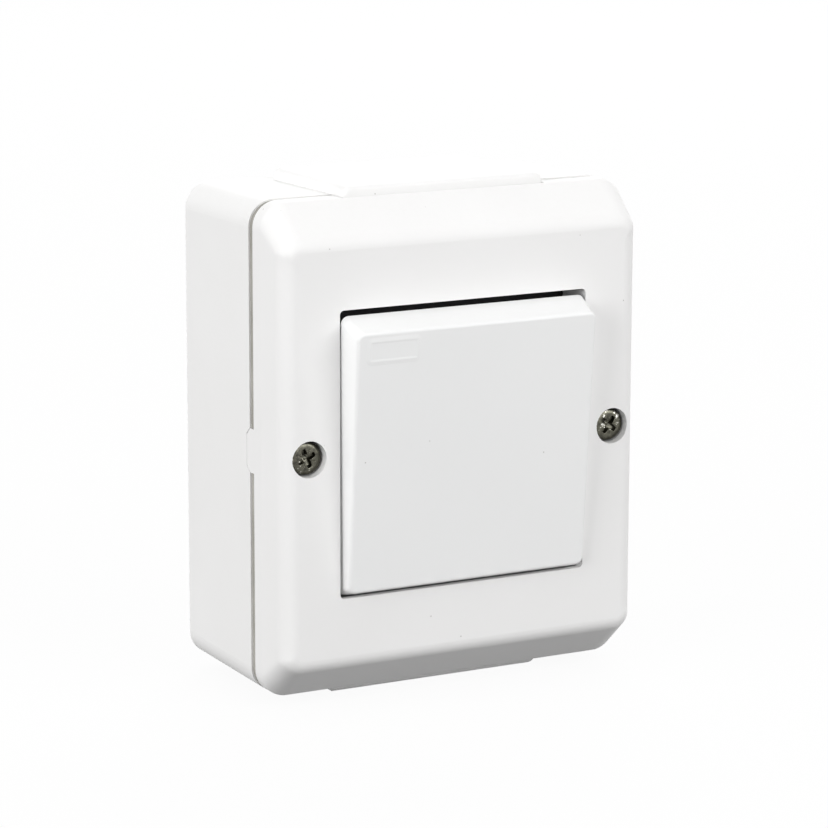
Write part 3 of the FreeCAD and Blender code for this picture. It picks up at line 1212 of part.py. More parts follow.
def make_earth_screws():
    return group("earth_screws", [
        screw(
            f"earth_screw_{name}", f"-{EARTH_PLACE}", f"-{EARTH_DOWN} {sign} earth_length / 4",
            "back_wall + earth_size + 1.2",
            "terminal_screw", "terminal_screw * 1.43", "terminal_head_height * 0.8",
            "1.2 + earth_size * 0.5",
        )
        for name, sign in (("lower", "-"), ("upper", "+"))
    ])


# Fasteners of the cover and of the membrane's frame

def make_cover_screws():
    seat = f"({SEAT} + seal_washer)"
    return group("cover_screws", [
        screw(
            f"cover_screw_{name}", f"{sign}{SCREW_PLACE}", "0", seat,
            "screw_shank", "screw_head", "screw_head_height", f"{seat} - base_depth + thread_reach",
        )
        for name, sign in (("left", "-"), ("right", ""))
    ])


def make_screw_seals():
    washers = []
    for name, sign in (("left", "-"), ("right", "")):
        place = f"{sign}{SCREW_PLACE}"
        disc = rod(f"seal_{name}_disc", place, "0", "screw_head / 2 + 0.2", SEAT, f"{SEAT} + seal_washer")
        radius = "screw_shank / 2 + 0.05"
        hole = rod(f"seal_{name}_hole", place, "0", radius, f"{SEAT} - 1", f"{SEAT} + seal_washer + 1")
        washers.append(cut(f"seal_{name}", disc, [hole]))
    return group("screw_seals", washers)


def make_threaded_inserts():
    inserts = []
    for name, sign in (("left", "-"), ("right", "")):
        place = f"{sign}{SCREW_PLACE}"
        end = "base_depth - insert_length"
        sleeve = rod(f"insert_{name}_sleeve", place, "0", "insert_radius", end, "base_depth")
        bore = rod(f"insert_{name}_bore", place, "0", "screw_shank / 2", f"{end} - 1", "base_depth + 1")
        inserts.append(cut(f"insert_{name}", sleeve, [bore]))
    return group("threaded_inserts", inserts)


def make_frame_screws():
    screws = []
    for across in ("-", ""):
        for up in ("-", ""):
            place = (f"{across}{FRAME_SCREW_ACROSS}", f"{up}{FRAME_SCREW_UP}")
            screws.append(screw(
                f"frame_screw_{len(screws)}", *place, FRAME_BACK,
                "frame_screw", "frame_head", "frame_head_height", "frame_thickness + 4.5", turned=True,
            ))
    return group("frame_screws", screws)


parts = [
    make_base_box(),
    make_cover_gasket(),
    make_front_cover(),
    make_rocker_key(),
    make_rocker_cradle(),
    make_plunger(),
    make_plunger_spring(),
    make_window_membrane(),
    make_membrane_frame(),
    make_frame_screws(),
    make_cover_screws(),
    make_screw_seals(),
    make_threaded_inserts(),
    make_entry_grommet(),
    make_mechanism_housing(),
    make_chamber_lid(),
    make_mechanism_screws(),
    make_contact_blade(),
    make_moving_contacts(),
    make_common_terminal(),
    make_end_terminal("upper_terminal", ""),
    make_end_terminal("lower_terminal", "-"),
    make_fixed_contacts(),
    make_clamp_plates(),
    make_terminal_screws(),
    make_earth_terminal(),
    make_earth_screws(),
]
doc.recompute()

# Nothing is written unless every feature worked
for item in doc.Objects:
    if "Invalid" in item.State or "Error" in item.State:
        raise RuntimeError(f"{item.Name} failed: {item.State}")
for item in parts:
    if item.Shape.isNull() or not item.Shape.isValid():
        raise RuntimeError(f"{item.Label} has no valid shape")
for item in parts:
    item.Shape.exportStep(f"parts/{item.Label}.step")
    box = item.Shape.BoundBox
    reach = (box.XMin, box.XMax, box.YMin, box.YMax, box.ZMin, box.ZMax)
    ends = " ".join(f"{end:7.2f}" for end in reach)
    print(f"{item.Label:18}", len(item.Shape.Solids), f"{item.Shape.Volume:10.2f}", ends)
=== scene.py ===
import math
import bpy
from mathutils import Matrix, Vector


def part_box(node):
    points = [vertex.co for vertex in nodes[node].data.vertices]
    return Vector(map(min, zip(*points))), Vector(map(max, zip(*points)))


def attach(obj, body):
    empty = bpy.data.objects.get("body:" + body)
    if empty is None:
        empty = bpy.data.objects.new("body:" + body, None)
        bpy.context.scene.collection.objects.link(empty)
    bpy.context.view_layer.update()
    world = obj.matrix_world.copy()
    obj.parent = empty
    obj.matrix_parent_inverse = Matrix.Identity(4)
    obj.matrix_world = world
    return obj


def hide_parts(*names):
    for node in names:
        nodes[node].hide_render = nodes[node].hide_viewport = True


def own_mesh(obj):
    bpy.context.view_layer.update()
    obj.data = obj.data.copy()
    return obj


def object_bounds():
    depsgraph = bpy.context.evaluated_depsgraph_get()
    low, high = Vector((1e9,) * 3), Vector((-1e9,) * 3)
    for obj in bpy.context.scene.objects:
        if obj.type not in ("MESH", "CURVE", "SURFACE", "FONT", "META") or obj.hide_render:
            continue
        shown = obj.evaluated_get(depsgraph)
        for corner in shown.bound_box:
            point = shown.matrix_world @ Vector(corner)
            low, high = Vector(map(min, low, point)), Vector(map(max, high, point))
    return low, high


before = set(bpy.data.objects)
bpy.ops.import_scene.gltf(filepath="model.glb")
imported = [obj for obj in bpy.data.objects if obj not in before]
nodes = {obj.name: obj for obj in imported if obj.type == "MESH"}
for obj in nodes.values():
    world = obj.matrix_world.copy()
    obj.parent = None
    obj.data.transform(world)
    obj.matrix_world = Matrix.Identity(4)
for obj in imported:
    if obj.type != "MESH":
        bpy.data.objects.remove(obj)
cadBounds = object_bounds()
print("frame loaded:", len(nodes), "nodes")

boxMiddle = (0.0, -0.020, 0.0)  # the camera and the lamps point at it
restTilt = 4.62  # degrees, how far the rocker leans at rest

# Camera: stands to the left of the switch, a little above it, and looks at the middle of the box

cameraSet = {
    "azimuth": -28.47,  # degrees, 0 faces the cover squarely
    "elevation": 11.99,
    "roll": 0.15,
    "distance": 0.6188,
    "lens": 154.03,
    "sensor": 36.0,
    "shift": (-0.0031, 0.0121),
    "clip": (0.01, 50.0),
}


def addCamera(values):
    cameraData = bpy.data.cameras.new("photoCamera")
    cameraData.lens = values["lens"]
    cameraData.sensor_width = values["sensor"]
    cameraData.shift_x, cameraData.shift_y = values["shift"]
    cameraData.clip_start, cameraData.clip_end = values["clip"]
    camera = bpy.data.objects.new("photoCamera", cameraData)
    bpy.context.scene.collection.objects.link(camera)
    around, above = math.radians(values["azimuth"]), math.radians(values["elevation"])
    back = Vector((math.sin(around) * math.cos(above), -math.cos(around) * math.cos(above), math.sin(above)))
    camera.location = Vector(boxMiddle) + back * values["distance"]
    roll = Matrix.Rotation(math.radians(values["roll"]), 4, "Z")
    turn = (-back).to_track_quat("-Z", "Y").to_matrix().to_4x4() @ roll
    camera.rotation_euler = turn.to_euler()
    bpy.context.scene.camera = camera


addCamera(cameraSet)
print("camera placed")

# Shader groups shared by the materials


def startGroup(name, inputs, outputs):
    group = bpy.data.node_groups.new(name, "ShaderNodeTree")
    for label in inputs:
        group.interface.new_socket(name=label, in_out="INPUT", socket_type="NodeSocketFloat")
    for label in outputs:
        group.interface.new_socket(name=label, in_out="OUTPUT", socket_type="NodeSocketFloat")
    entry = group.nodes.new("NodeGroupInput")
    leave = group.nodes.new("NodeGroupOutput")
    entry.location, leave.location = (-900, 0), (600, 0)
    return group, entry, leave


def place(tree, kind, spot, inputs=None, **settings):
    node = tree.nodes.new(kind)
    node.location = spot
    for key, value in settings.items():
        setattr(node, key, value)
    for socket, value in (inputs or {}).items():
        node.inputs[socket].default_value = value
    return node


# A texture's scale from a size in metres
def perSize(group, size, spot):
    scale = place(group, "ShaderNodeMath", spot, {0: 1.0}, operation="DIVIDE")
    group.links.new(size, scale.inputs[1])
    return scale.outputs[0]


# Fine spark-eroded grain and slow mottling of injection-moulded plastic,
# with a dark fleck here and there in the resin, a quarter of a millimetre across

mouldGrainSet = {
    "grain": {"Detail": 3.0, "Roughness": 0.65},
    "mottle": {"Detail": 2.0},
    "flow": {"Detail": 4.0, "Distortion": 1.2},
    "flowStretch": (1.0, 1.0, 0.25),
    "cellShare": 0.45,
    "fleckScale": 170.0,  # cells per metre
    "fleck": {"From Min": 0.012, "From Max": 0.030, "To Min": 0.5, "To Max": 0.0},
}


def buildMouldGrain(values):
    group, entry, leave = startGroup(
        "mouldGrain", ("Grain Size", "Mottle Size"), ("Height", "Mottle", "Flow", "Fleck")
    )
    link = group.links.new
    coords = place(group, "ShaderNodeTexCoord", (-900, -200))
    grainScale = perSize(group, entry.outputs["Grain Size"], (-700, 120))
    mottleScale = perSize(group, entry.outputs["Mottle Size"], (-700, -80))
    stretch = place(group, "ShaderNodeMapping", (-700, -520), {"Scale": values["flowStretch"]})
    grain = place(group, "ShaderNodeTexNoise", (-480, 160), values["grain"])
    cells = place(group, "ShaderNodeTexVoronoi", (-480, -60), feature="SMOOTH_F1")
    mottle = place(group, "ShaderNodeTexNoise", (-480, -300), values["mottle"])
    flow = place(group, "ShaderNodeTexNoise", (-480, -520), values["flow"])
    strays = place(group, "ShaderNodeTexVoronoi", (-480, -760), {"Scale": values["fleckScale"]})
    for node, scale in ((grain, grainScale), (cells, grainScale), (mottle, mottleScale), (flow, mottleScale)):
        link(scale, node.inputs["Scale"])
    for node in (grain, cells, mottle, strays, stretch):
        link(coords.outputs["Object"], node.inputs["Vector"])
    link(stretch.outputs["Vector"], flow.inputs["Vector"])
    blend = place(group, "ShaderNodeMath", (-200, 80), {1: values["cellShare"]}, operation="MULTIPLY_ADD")
    link(cells.outputs["Distance"], blend.inputs[0])
    link(grain.outputs["Fac"], blend.inputs[2])
    fleck = place(
        group, "ShaderNodeMapRange", (-260, -760), values["fleck"], interpolation_type="SMOOTHSTEP"
    )
    link(strays.outputs["Distance"], fleck.inputs["Value"])
    link(blend.outputs[0], leave.inputs["Height"])
    link(mottle.outputs["Fac"], leave.inputs["Mottle"])
    link(flow.outputs["Fac"], leave.inputs["Flow"])
    link(fleck.outputs["Result"], leave.inputs["Fleck"])
    return group


# Dust that gathers on faces that look up, broken up by noise

settledDustSet = {
    "upward": {"From Min": 0.2, "From Max": 1.0},
    "specks": {"Detail": 5.0},
    "cut": {"From Min": 0.48, "From Max": 0.72},
}


def buildSettledDust(values):
    group, entry, leave = startGroup("settledDust", ("Amount", "Speck Size"), ("Mask",))
    link = group.links.new
    coords = place(group, "ShaderNodeTexCoord", (-900, -200))
    facing = place(group, "ShaderNodeSeparateXYZ", (-700, -260))
    link(coords.outputs["Normal"], facing.inputs[0])
    upward = place(
        group, "ShaderNodeMapRange", (-480, -260), values["upward"], interpolation_type="SMOOTHSTEP"
    )
    link(facing.outputs["Z"], upward.inputs["Value"])
    specks = place(group, "ShaderNodeTexNoise", (-480, 60), values["specks"])
    link(perSize(group, entry.outputs["Speck Size"], (-700, 60)), specks.inputs["Scale"])
    link(coords.outputs["Object"], specks.inputs["Vector"])
    cut = place(group, "ShaderNodeMapRange", (-260, 60), values["cut"], interpolation_type="SMOOTHSTEP")
    link(specks.outputs["Fac"], cut.inputs["Value"])
    both = place(group, "ShaderNodeMath", (-40, -60), operation="MULTIPLY")
    link(cut.outputs["Result"], both.inputs[0])
    link(upward.outputs["Result"], both.inputs[1])
    dose = place(group, "ShaderNodeMath", (160, -60), operation="MULTIPLY")
    link(both.outputs[0], dose.inputs[0])
    link(entry.outputs["Amount"], dose.inputs[1])
    link(dose.outputs[0], leave.inputs["Mask"])
    return group


# Drawn, turned or stamped metal: fine lines along one axis, and blotches of tarnish

metalFinishSet = {
    "lines": {"Detail": 2.0},
    "lineStretch": (1.0, 0.06, 1.0),
    "tarnish": {"Detail": 5.0, "Roughness": 0.7},
}


def buildMetalFinish(values):
    group, entry, leave = startGroup("metalFinish", ("Line Size", "Tarnish Size"), ("Lines", "Tarnish"))
    link = group.links.new
    coords = place(group, "ShaderNodeTexCoord", (-900, -200))
    stretch = place(group, "ShaderNodeMapping", (-700, 320), {"Scale": values["lineStretch"]})
    lines = place(group, "ShaderNodeTexNoise", (-480, 220), values["lines"])
    tarnish = place(group, "ShaderNodeTexNoise", (-480, -120), values["tarnish"])
    link(coords.outputs["Object"], stretch.inputs["Vector"])
    link(stretch.outputs["Vector"], lines.inputs["Vector"])
    link(coords.outputs["Object"], tarnish.inputs["Vector"])
    link(perSize(group, entry.outputs["Line Size"], (-700, 120)), lines.inputs["Scale"])
    link(perSize(group, entry.outputs["Tarnish Size"], (-700, -60)), tarnish.inputs["Scale"])
    link(lines.outputs["Fac"], leave.inputs["Lines"])
    link(tarnish.outputs["Fac"], leave.inputs["Tarnish"])
    return group


mouldGrain = buildMouldGrain(mouldGrainSet)
settledDust = buildSettledDust(settledDustSet)
metalFinish = buildMetalFinish(metalFinishSet)
print("shader groups built")


def newMaterial(name):
    material = bpy.data.materials.new(name)
    material.use_nodes = True
    return material, material.node_tree, material.node_tree.nodes["Principled BSDF"]


def colourRamp(tree, stops):
    ramp = place(tree, "ShaderNodeValToRGB", (-600, 220))
    elements = ramp.color_ramp.elements
    for element, (position, colour) in zip(elements, (stops[0], stops[-1])):
        element.position, element.color = position, (*colour, 1.0)
    for position, colour in stops[1:-1]:
        elements.new(position).color = (*colour, 1.0)
    return ramp


# Roughness that swings about the look's own, and fine relief
def addFinish(tree, shader, look, values, swingBy, height, bump, size):
    low, high = values["swing"]
    span = {"To Min": look["rough"] + low, "To Max": look["rough"] + high}
    gloss = place(tree, "ShaderNodeMapRange", (-340, -80), span)
    tree.links.new(swingBy, gloss.inputs["Value"])
    tree.links.new(gloss.outputs["Result"], shader.inputs["Roughness"])
    depth = {"Strength": bump, "Distance": size * values["relief"]}
    relief = place(tree, "ShaderNodeBump", (-340, -320), depth)
    tree.links.new(height, relief.inputs["Height"])
    tree.links.new(relief.outputs["Normal"], shader.inputs["Normal"])


# Moulded plastic: colour drifts between two tones, a little dust, fine grain in bump and gloss

plasticSet = {
    "tones": (0.3, 0.7),
    "speckSize": 0.0007,
    "fleckColour": (0.22, 0.20, 0.17, 1.0),
    "swing": (-0.05, 0.05),
    "relief": 0.2,  # depth of the bump, as a share of the grain
    "index": 1.42,
    "shine": 0.5,  # for the looks that name none
}
plasticLooks = {
    "boxPlastic": {
        "light": (0.898, 0.895, 0.890), "dark": (0.878, 0.874, 0.867), "rough": 0.48, "bump": 0.22,
        "grain": 0.00028, "mottle": 0.022, "dust": 0.10, "dustColour": (0.78, 0.77, 0.74),
    },
    "coverPlastic": {
        "light": (0.902, 0.898, 0.894), "dark": (0.886, 0.881, 0.876), "rough": 0.44, "bump": 0.16,
        "grain": 0.00022, "mottle": 0.026, "dust": 0.08, "dustColour": (0.79, 0.78, 0.75), "shine": 0.25,
    },
    "rockerPlastic": {
        "light": (0.915, 0.918, 0.916), "dark": (0.903, 0.906, 0.904), "rough": 0.40, "bump": 0.10,
        "grain": 0.00018, "mottle": 0.030, "dust": 0.06, "dustColour": (0.78, 0.78, 0.75), "shine": 0.35,
    },
    "innerPlastic": {
        "light": (0.050, 0.050, 0.048), "dark": (0.030, 0.030, 0.029), "rough": 0.5, "bump": 0.25,
        "grain": 0.0003, "mottle": 0.012, "dust": 0.10, "dustColour": (0.16, 0.155, 0.14),
    },
    "mechanismPlastic": {
        "light": (0.66, 0.66, 0.63), "dark": (0.58, 0.58, 0.55), "rough": 0.45, "bump": 0.25,
        "grain": 0.00025, "mottle": 0.010, "dust": 0.12, "dustColour": (0.62, 0.60, 0.55),
    },
    "plungerPlastic": {
        "light": (0.86, 0.86, 0.83), "dark": (0.80, 0.80, 0.77), "rough": 0.25, "bump": 0.08,
        "grain": 0.0002, "mottle": 0.004, "dust": 0.0, "dustColour": (0.7, 0.7, 0.7),
    },
}


def mouldedPlastic(name, look):
    values = plasticSet
    material, tree, shader = newMaterial(name)
    link = tree.links.new
    sizes = {"Grain Size": look["grain"], "Mottle Size": look["mottle"]}
    grain = place(tree, "ShaderNodeGroup", (-900, 0), sizes, node_tree=mouldGrain)
    tone = colourRamp(tree, [(values["tones"][0], look["dark"]), (values["tones"][1], look["light"])])
    link(grain.outputs["Mottle"], tone.inputs["Fac"])
    specks = {"Amount": look["dust"], "Speck Size": values["speckSize"]}
    dust = place(tree, "ShaderNodeGroup", (-900, -260), specks, node_tree=settledDust)
    dusty = place(tree, "ShaderNodeMix", (-340, 180), {"B": (*look["dustColour"], 1.0)}, data_type="RGBA")
    link(dust.outputs["Mask"], dusty.inputs["Factor"])
    link(tone.outputs["Color"], dusty.inputs["A"])
    flecked = place(tree, "ShaderNodeMix", (-160, 180), {"B": values["fleckColour"]}, data_type="RGBA")
    link(grain.outputs["Fleck"], flecked.inputs["Factor"])
    link(dusty.outputs["Result"], flecked.inputs["A"])
    link(flecked.outputs["Result"], shader.inputs["Base Color"])
    flow, height = grain.outputs["Flow"], grain.outputs["Height"]
    addFinish(tree, shader, look, values, flow, height, look["bump"], look["grain"])
    shader.inputs["IOR"].default_value = values["index"]
    shader.inputs["Specular IOR Level"].default_value = look.get("shine", values["shine"])
    return material


# Rubber: matt, with a pale bloom in blotches

rubberSet = {"tones": (0.35, 0.75), "swing": (-0.08, 0.08), "bump": 0.35, "relief": 0.3, "index": 1.45}
rubberLooks = {
    "gasketRubber": {
        "light": (0.43, 0.42, 0.39), "dark": (0.31, 0.30, 0.27), "rough": 0.75,
        "grain": 0.0003, "bloom": 0.008,
    },
    "grommetRubber": {
        "light": (0.42, 0.42, 0.41), "dark": (0.33, 0.33, 0.32), "rough": 0.68,
        "grain": 0.0004, "bloom": 0.006,
    },
    "membraneRubber": {
        "light": (0.020, 0.020, 0.021), "dark": (0.010, 0.010, 0.011), "rough": 0.62,
        "grain": 0.0004, "bloom": 0.006,
    },
    "washerRubber": {
        "light": (0.022, 0.022, 0.022), "dark": (0.012, 0.012, 0.012), "rough": 0.55,
        "grain": 0.0002, "bloom": 0.002,
    },
}


def bloomedRubber(name, look):
    values = rubberSet
    material, tree, shader = newMaterial(name)
    sizes = {"Grain Size": look["grain"], "Mottle Size": look["bloom"]}
    grain = place(tree, "ShaderNodeGroup", (-900, 0), sizes, node_tree=mouldGrain)
    tone = colourRamp(tree, [(values["tones"][0], look["dark"]), (values["tones"][1], look["light"])])
    tree.links.new(grain.outputs["Mottle"], tone.inputs["Fac"])
    tree.links.new(tone.outputs["Color"], shader.inputs["Base Color"])
    flow, height = grain.outputs["Flow"], grain.outputs["Height"]
    addFinish(tree, shader, look, values, flow, height, values["bump"], look["grain"])
    shader.inputs["IOR"].default_value = values["index"]
    return material


# Metal: fine lines in the bump, tarnish in colour and gloss, and on a dark finish small bright spots painted
# into the colour as glints

# The tone ramp's last stops put painted glints into the colour: bright spots where the tarnish noise peaks
metalSet = {"tones": (0.3, 0.62), "paintedGlintTones": (0.3, 0.54, 0.60, 0.64), "swing": (0.12, -0.06), "relief": 0.3}
metalLooks = {
    "darkNickel": {
        # Its brightest colour is a painted glint: small bright spots that stand in for reflections of the
        # lamps
        "light": (0.115, 0.112, 0.088), "dark": (0.030, 0.029, 0.026), "paintedGlint": (0.80, 0.79, 0.74),
        "rough": 0.20, "bump": 0.3, "lines": 0.00012, "tarnish": 0.0011,
    },
    "zincSteel": {
        "light": (0.66, 0.67, 0.69), "dark": (0.45, 0.46, 0.48), "rough": 0.34, "bump": 0.2,
        "lines": 0.00015, "tarnish": 0.0016,
    },
    "springSteel": {
        "light": (0.60, 0.60, 0.61), "dark": (0.42, 0.42, 0.43), "rough": 0.24, "bump": 0.1,
        "lines": 0.0001, "tarnish": 0.0012,
    },
    "terminalBrass": {
        "light": (0.80, 0.60, 0.27), "dark": (0.58, 0.41, 0.17), "rough": 0.30, "bump": 0.2,
        "lines": 0.00018, "tarnish": 0.0022,
    },
    "contactSilver": {
        "light": (0.86, 0.85, 0.82), "dark": (0.62, 0.60, 0.56), "rough": 0.28, "bump": 0.1,
        "lines": 0.0001, "tarnish": 0.0010,
    },
}


def workedMetal(name, look):
    values = metalSet
    material, tree, shader = newMaterial(name)
    sizes = {"Line Size": look["lines"], "Tarnish Size": look["tarnish"]}
    finish = place(tree, "ShaderNodeGroup", (-900, 0), sizes, node_tree=metalFinish)
    stops = list(zip(values["tones"], (look["dark"], look["light"])))
    # Painted glints: a bright colour at the noise's peaks, in place of reflections of the lamps
    if "paintedGlint" in look:
        stops = list(zip(values["paintedGlintTones"], (look["dark"], look["light"], look["light"], look["paintedGlint"])))
    tone = colourRamp(tree, stops)
    tree.links.new(finish.outputs["Tarnish"], tone.inputs["Fac"])
    tree.links.new(tone.outputs["Color"], shader.inputs["Base Color"])
    tarnish, lines = finish.outputs["Tarnish"], finish.outputs["Lines"]
    addFinish(tree, shader, look, values, tarnish, lines, look["bump"], look["lines"])
    shader.inputs["Metallic"].default_value = 1.0
    return material


materials = {}
for maker, looks in ((mouldedPlastic, plasticLooks), (bloomedRubber, rubberLooks), (workedMetal, metalLooks)):
    for materialName, look in looks.items():
        materials[materialName] = maker(materialName, look)

nodeMaterials = {
    "base_box": "boxPlastic",
    "front_cover": "coverPlastic",
    "rocker_key": "rockerPlastic",
    "cover_gasket": "gasketRubber",
    "entry_grommet": "grommetRubber",
    "window_membrane": "membraneRubber",
    "screw_seals": "washerRubber",
    "rocker_cradle": "innerPlastic",
    "membrane_frame": "innerPlastic",
    "mechanism_housing": "mechanismPlastic",
    "chamber_lid": "mechanismPlastic",
    "plunger": "plungerPlastic",
    "plunger_spring": "springSteel",
    "frame_screws": "zincSteel",
    "mechanism_screws": "zincSteel",
    "clamp_plates": "zincSteel",
    "terminal_screws": "zincSteel",
    "earth_screws": "zincSteel",
    "threaded_inserts": "terminalBrass",
    "contact_blade": "terminalBrass",
    "common_terminal": "terminalBrass",
    "upper_terminal": "terminalBrass",
    "lower_terminal": "terminalBrass",
    "earth_terminal": "terminalBrass",
    "moving_contacts": "contactSilver",
    "fixed_contacts": "contactSilver",
}
for nodeName, materialName in nodeMaterials.items():
    nodes[nodeName].data.materials.clear()
    nodes[nodeName].data.materials.append(materials[materialName])
print("materials assigned:", len(nodeMaterials))


def addPiece(name, points, faces, material, smooth=True):
    mesh = bpy.data.meshes.new(name)
    mesh.from_pydata(points, [], faces)
    mesh.validate()
    mesh.update()
    mesh.materials.append(material)
    for polygon in mesh.polygons:
        polygon.use_smooth = smooth
    piece = bpy.data.objects.new(name, mesh)
    bpy.context.scene.collection.objects.link(piece)
    return piece


def ease(value, low, high):
    step = min(1.0, max(0.0, (value - low) / (high - low)))
    return step * step * (3.0 - 2.0 * step)


# Faces between rings of points, each ring with count points and one after the other
def joinRings(rings, count, turnedOver=False):
    faces = []
    for ring in range(rings - 1):
        near, far = ring * count, (ring + 1) * count
        for index in range(count):
            following = (index + 1) % count
            if turnedOver:
                faces.append((near + index, far + index, far + following, near + following))
            else:
                faces.append((near + index, near + following, far + following, far + index))
    return faces


# Cover screws: pan heads with a cross recess and four ticks between its arms, and a real thread behind them

screwSet = {
    "columns": 192,
    "headRings": 46,
    "headRadius": 0.0028,
    "headHeight": 0.0023,
    "shoulder": 0.00195,  # straight part of the head's side
    "crownFrom": 0.70,  # share of the radius where the crown begins to round off
    "crownRun": 0.30,
    "crownPower": 2.2,
    "crownDrop": 0.00008,
    "rim": 0.995,  # the crown's last ring, as a share of the radius
    "sideTop": 0.9,  # top of the straight side, as a share of the shoulder
    "underBevel": 0.00008,
    "crossReach": 0.00175,
    "crossWidth": 0.00052,
    "crossTaper": 0.35,  # how much the arms narrow outwards
    "crossWall": (0.75, 1.15),  # where the wall falls, in widths
    "crossEnd": 0.82,
    "crossDepth": 0.0013,
    "crossRise": 0.45,  # how much the recess gets shallower outwards
    "tickFrom": 0.00075,  # the ticks run out from here at 45 degrees to the arms
    "tickTo": 0.00175,
    "tickWidth": 0.00011,
    "tickDepth": 0.00016,
    "tickEnd": 0.0001,
    "threadRadius": 0.0015,
    "threadDepth": 0.00030,
    "threadFrom": 0.006,
    "threadFade": 0.0006,
    "threadPlay": 0.00001,
    "flank": (0.12, 0.85),
    "rowsPerTurn": 8,
    "pitch": 0.0005,
    "neckWidening": 0.00012,
    "neckDepth": 0.0002,
    "shankPlay": 0.0001,
    "endGap": 0.0003,
    "tipShare": 0.6,
    "tipLength": 0.00028,
    "turned": {"left": 24.0, "right": 52.0},  # degrees, how each one was left by the screwdriver
}


def headHeightAt(values, radius, angle):
    reach = radius / values["headRadius"]
    rounding = max(0.0, (reach - values["crownFrom"]) / values["crownRun"]) ** values["crownPower"]
    dome = math.sqrt(max(0.0, 1.0 - rounding))
    crown = values["shoulder"] + (values["headHeight"] - values["shoulder"]) * dome
    crown -= values["crownDrop"] * reach * reach
    side = abs(radius * math.sin(angle))
    along = abs(radius * math.cos(angle))
    depth = 0.0
    wallFrom, wallTo = values["crossWall"]
    for far, near in ((along, side), (side, along)):
        width = values["crossWidth"] * (1.0 - values["crossTaper"] * far / values["crossReach"])
        arm = 1.0 - ease(near, width * wallFrom, width * wallTo)
        end = 1.0 - ease(far, values["crossReach"] * values["crossEnd"], values["crossReach"])
        floor = values["crossDepth"] * (1.0 - values["crossRise"] * min(1.0, far / values["crossReach"]))
        depth = max(depth, arm * end * floor)
    bisector = abs(side - along) / math.sqrt(2.0)
    tick = 1.0 - ease(bisector, values["tickWidth"] * 0.5, values["tickWidth"])
    tick *= ease(radius, values["tickFrom"], values["tickFrom"] + values["tickEnd"])
    tick *= 1.0 - ease(radius, values["tickTo"] - values["tickEnd"], values["tickTo"])
    return crown - max(depth, tick * values["tickDepth"])


def threadRadiusAt(values, depth, angle, fade):
    phase = (depth / values["pitch"] - angle / (2.0 * math.pi)) % 1.0
    wave = 1.0 - abs(2.0 * phase - 1.0)
    cut = values["threadDepth"] * (1.0 - ease(wave, *values["flank"]))
    return values["threadRadius"] - values["threadPlay"] - cut * fade - values["shankPlay"] * (1.0 - fade)


def screwShape(values, length, middle, seatDepth, turn):
    columns, low = values["columns"], values["threadFrom"]
    angles = [2.0 * math.pi * column / columns for column in range(columns)]
    points = []

    def addRing(radiusAt, depthAt):
        for angle in angles:
            radius, depth = radiusAt(angle), depthAt(angle)
            across, up = radius * math.cos(angle + turn), radius * math.sin(angle + turn)
            points.append((middle.x + across, -(seatDepth + depth), middle.z + up))

    def addPlainRing(radius, depth):
        addRing(lambda angle: radius, lambda angle: depth)

    # Head: rings from the middle outwards, then down the side and back under it
    head, inner = values["headRadius"], values["threadRadius"]
    radii = [head * (ring / values["headRings"]) for ring in range(1, values["headRings"])]
    for radius in radii + [head * values["rim"]]:
        addRing(lambda angle: radius, lambda angle: headHeightAt(values, radius, angle))
    addPlainRing(head, values["shoulder"] * values["sideTop"])
    addPlainRing(head, values["underBevel"])
    addPlainRing(head - values["underBevel"], 0.0)
    # Neck and shank, then the thread as one helical ridge
    addPlainRing(inner + values["neckWidening"], 0.0)
    addPlainRing(inner - values["shankPlay"], -values["neckDepth"])
    addPlainRing(inner - values["shankPlay"], -low)
    rows = int((length - low) / values["pitch"] * values["rowsPerTurn"])
    for row in range(1, rows + 1):
        depth = low + (length - low) * row / rows
        fade = ease(depth, low, low + values["threadFade"])
        fade *= 1.0 - ease(depth, length - values["threadFade"], length)
        addRing(lambda angle: threadRadiusAt(values, depth, angle, fade), lambda angle: -depth)
    addPlainRing(inner * values["tipShare"], -length - values["tipLength"])
    faces = joinRings(len(points) // columns, columns, turnedOver=True)
    last, centre, tip = len(points) - columns, len(points), len(points) + 1
    points.append((middle.x, -(seatDepth + headHeightAt(values, 0.0, 0.0)), middle.z))
    points.append((middle.x, -(seatDepth - length - values["tipLength"]), middle.z))
    for column in range(columns):
        following = (column + 1) % columns
        faces.append((following, centre, column))
        faces.append((last + column, tip, last + following))
    return points, faces


def makeCoverScrews(values):
    lowest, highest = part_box("cover_screws")
    reach = highest.x - values["headRadius"]
    seatDepth = -lowest.y - values["headHeight"]
    length = seatDepth + highest.y - values["endGap"]
    allPoints, allFaces = [], []
    for side, across in (("left", -reach), ("right", reach)):
        turn = math.radians(values["turned"][side])
        points, faces = screwShape(values, length, Vector((across, 0.0, 0.0)), seatDepth, turn)
        offset = len(allPoints)
        allPoints += points
        allFaces += [tuple(index + offset for index in face) for face in faces]
    piece = addPiece("coverScrews", allPoints, allFaces, materials["darkNickel"])
    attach(piece, "case")
    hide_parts("cover_screws")


makeCoverScrews(screwSet)
print("cover screws made")

# Plunger spring: closed end turns, built at the rocker's rest tilt and carried with the rocker

springSet = {
    "wire": 0.00045,
    "turns": 9,
    "perTurn": 28,
    "sides": 10,
    "closedTurn": 2.1,  # pitch of the end turns, in radii of the wire
    "travel": 0.0015,  # the plunger's stroke
}


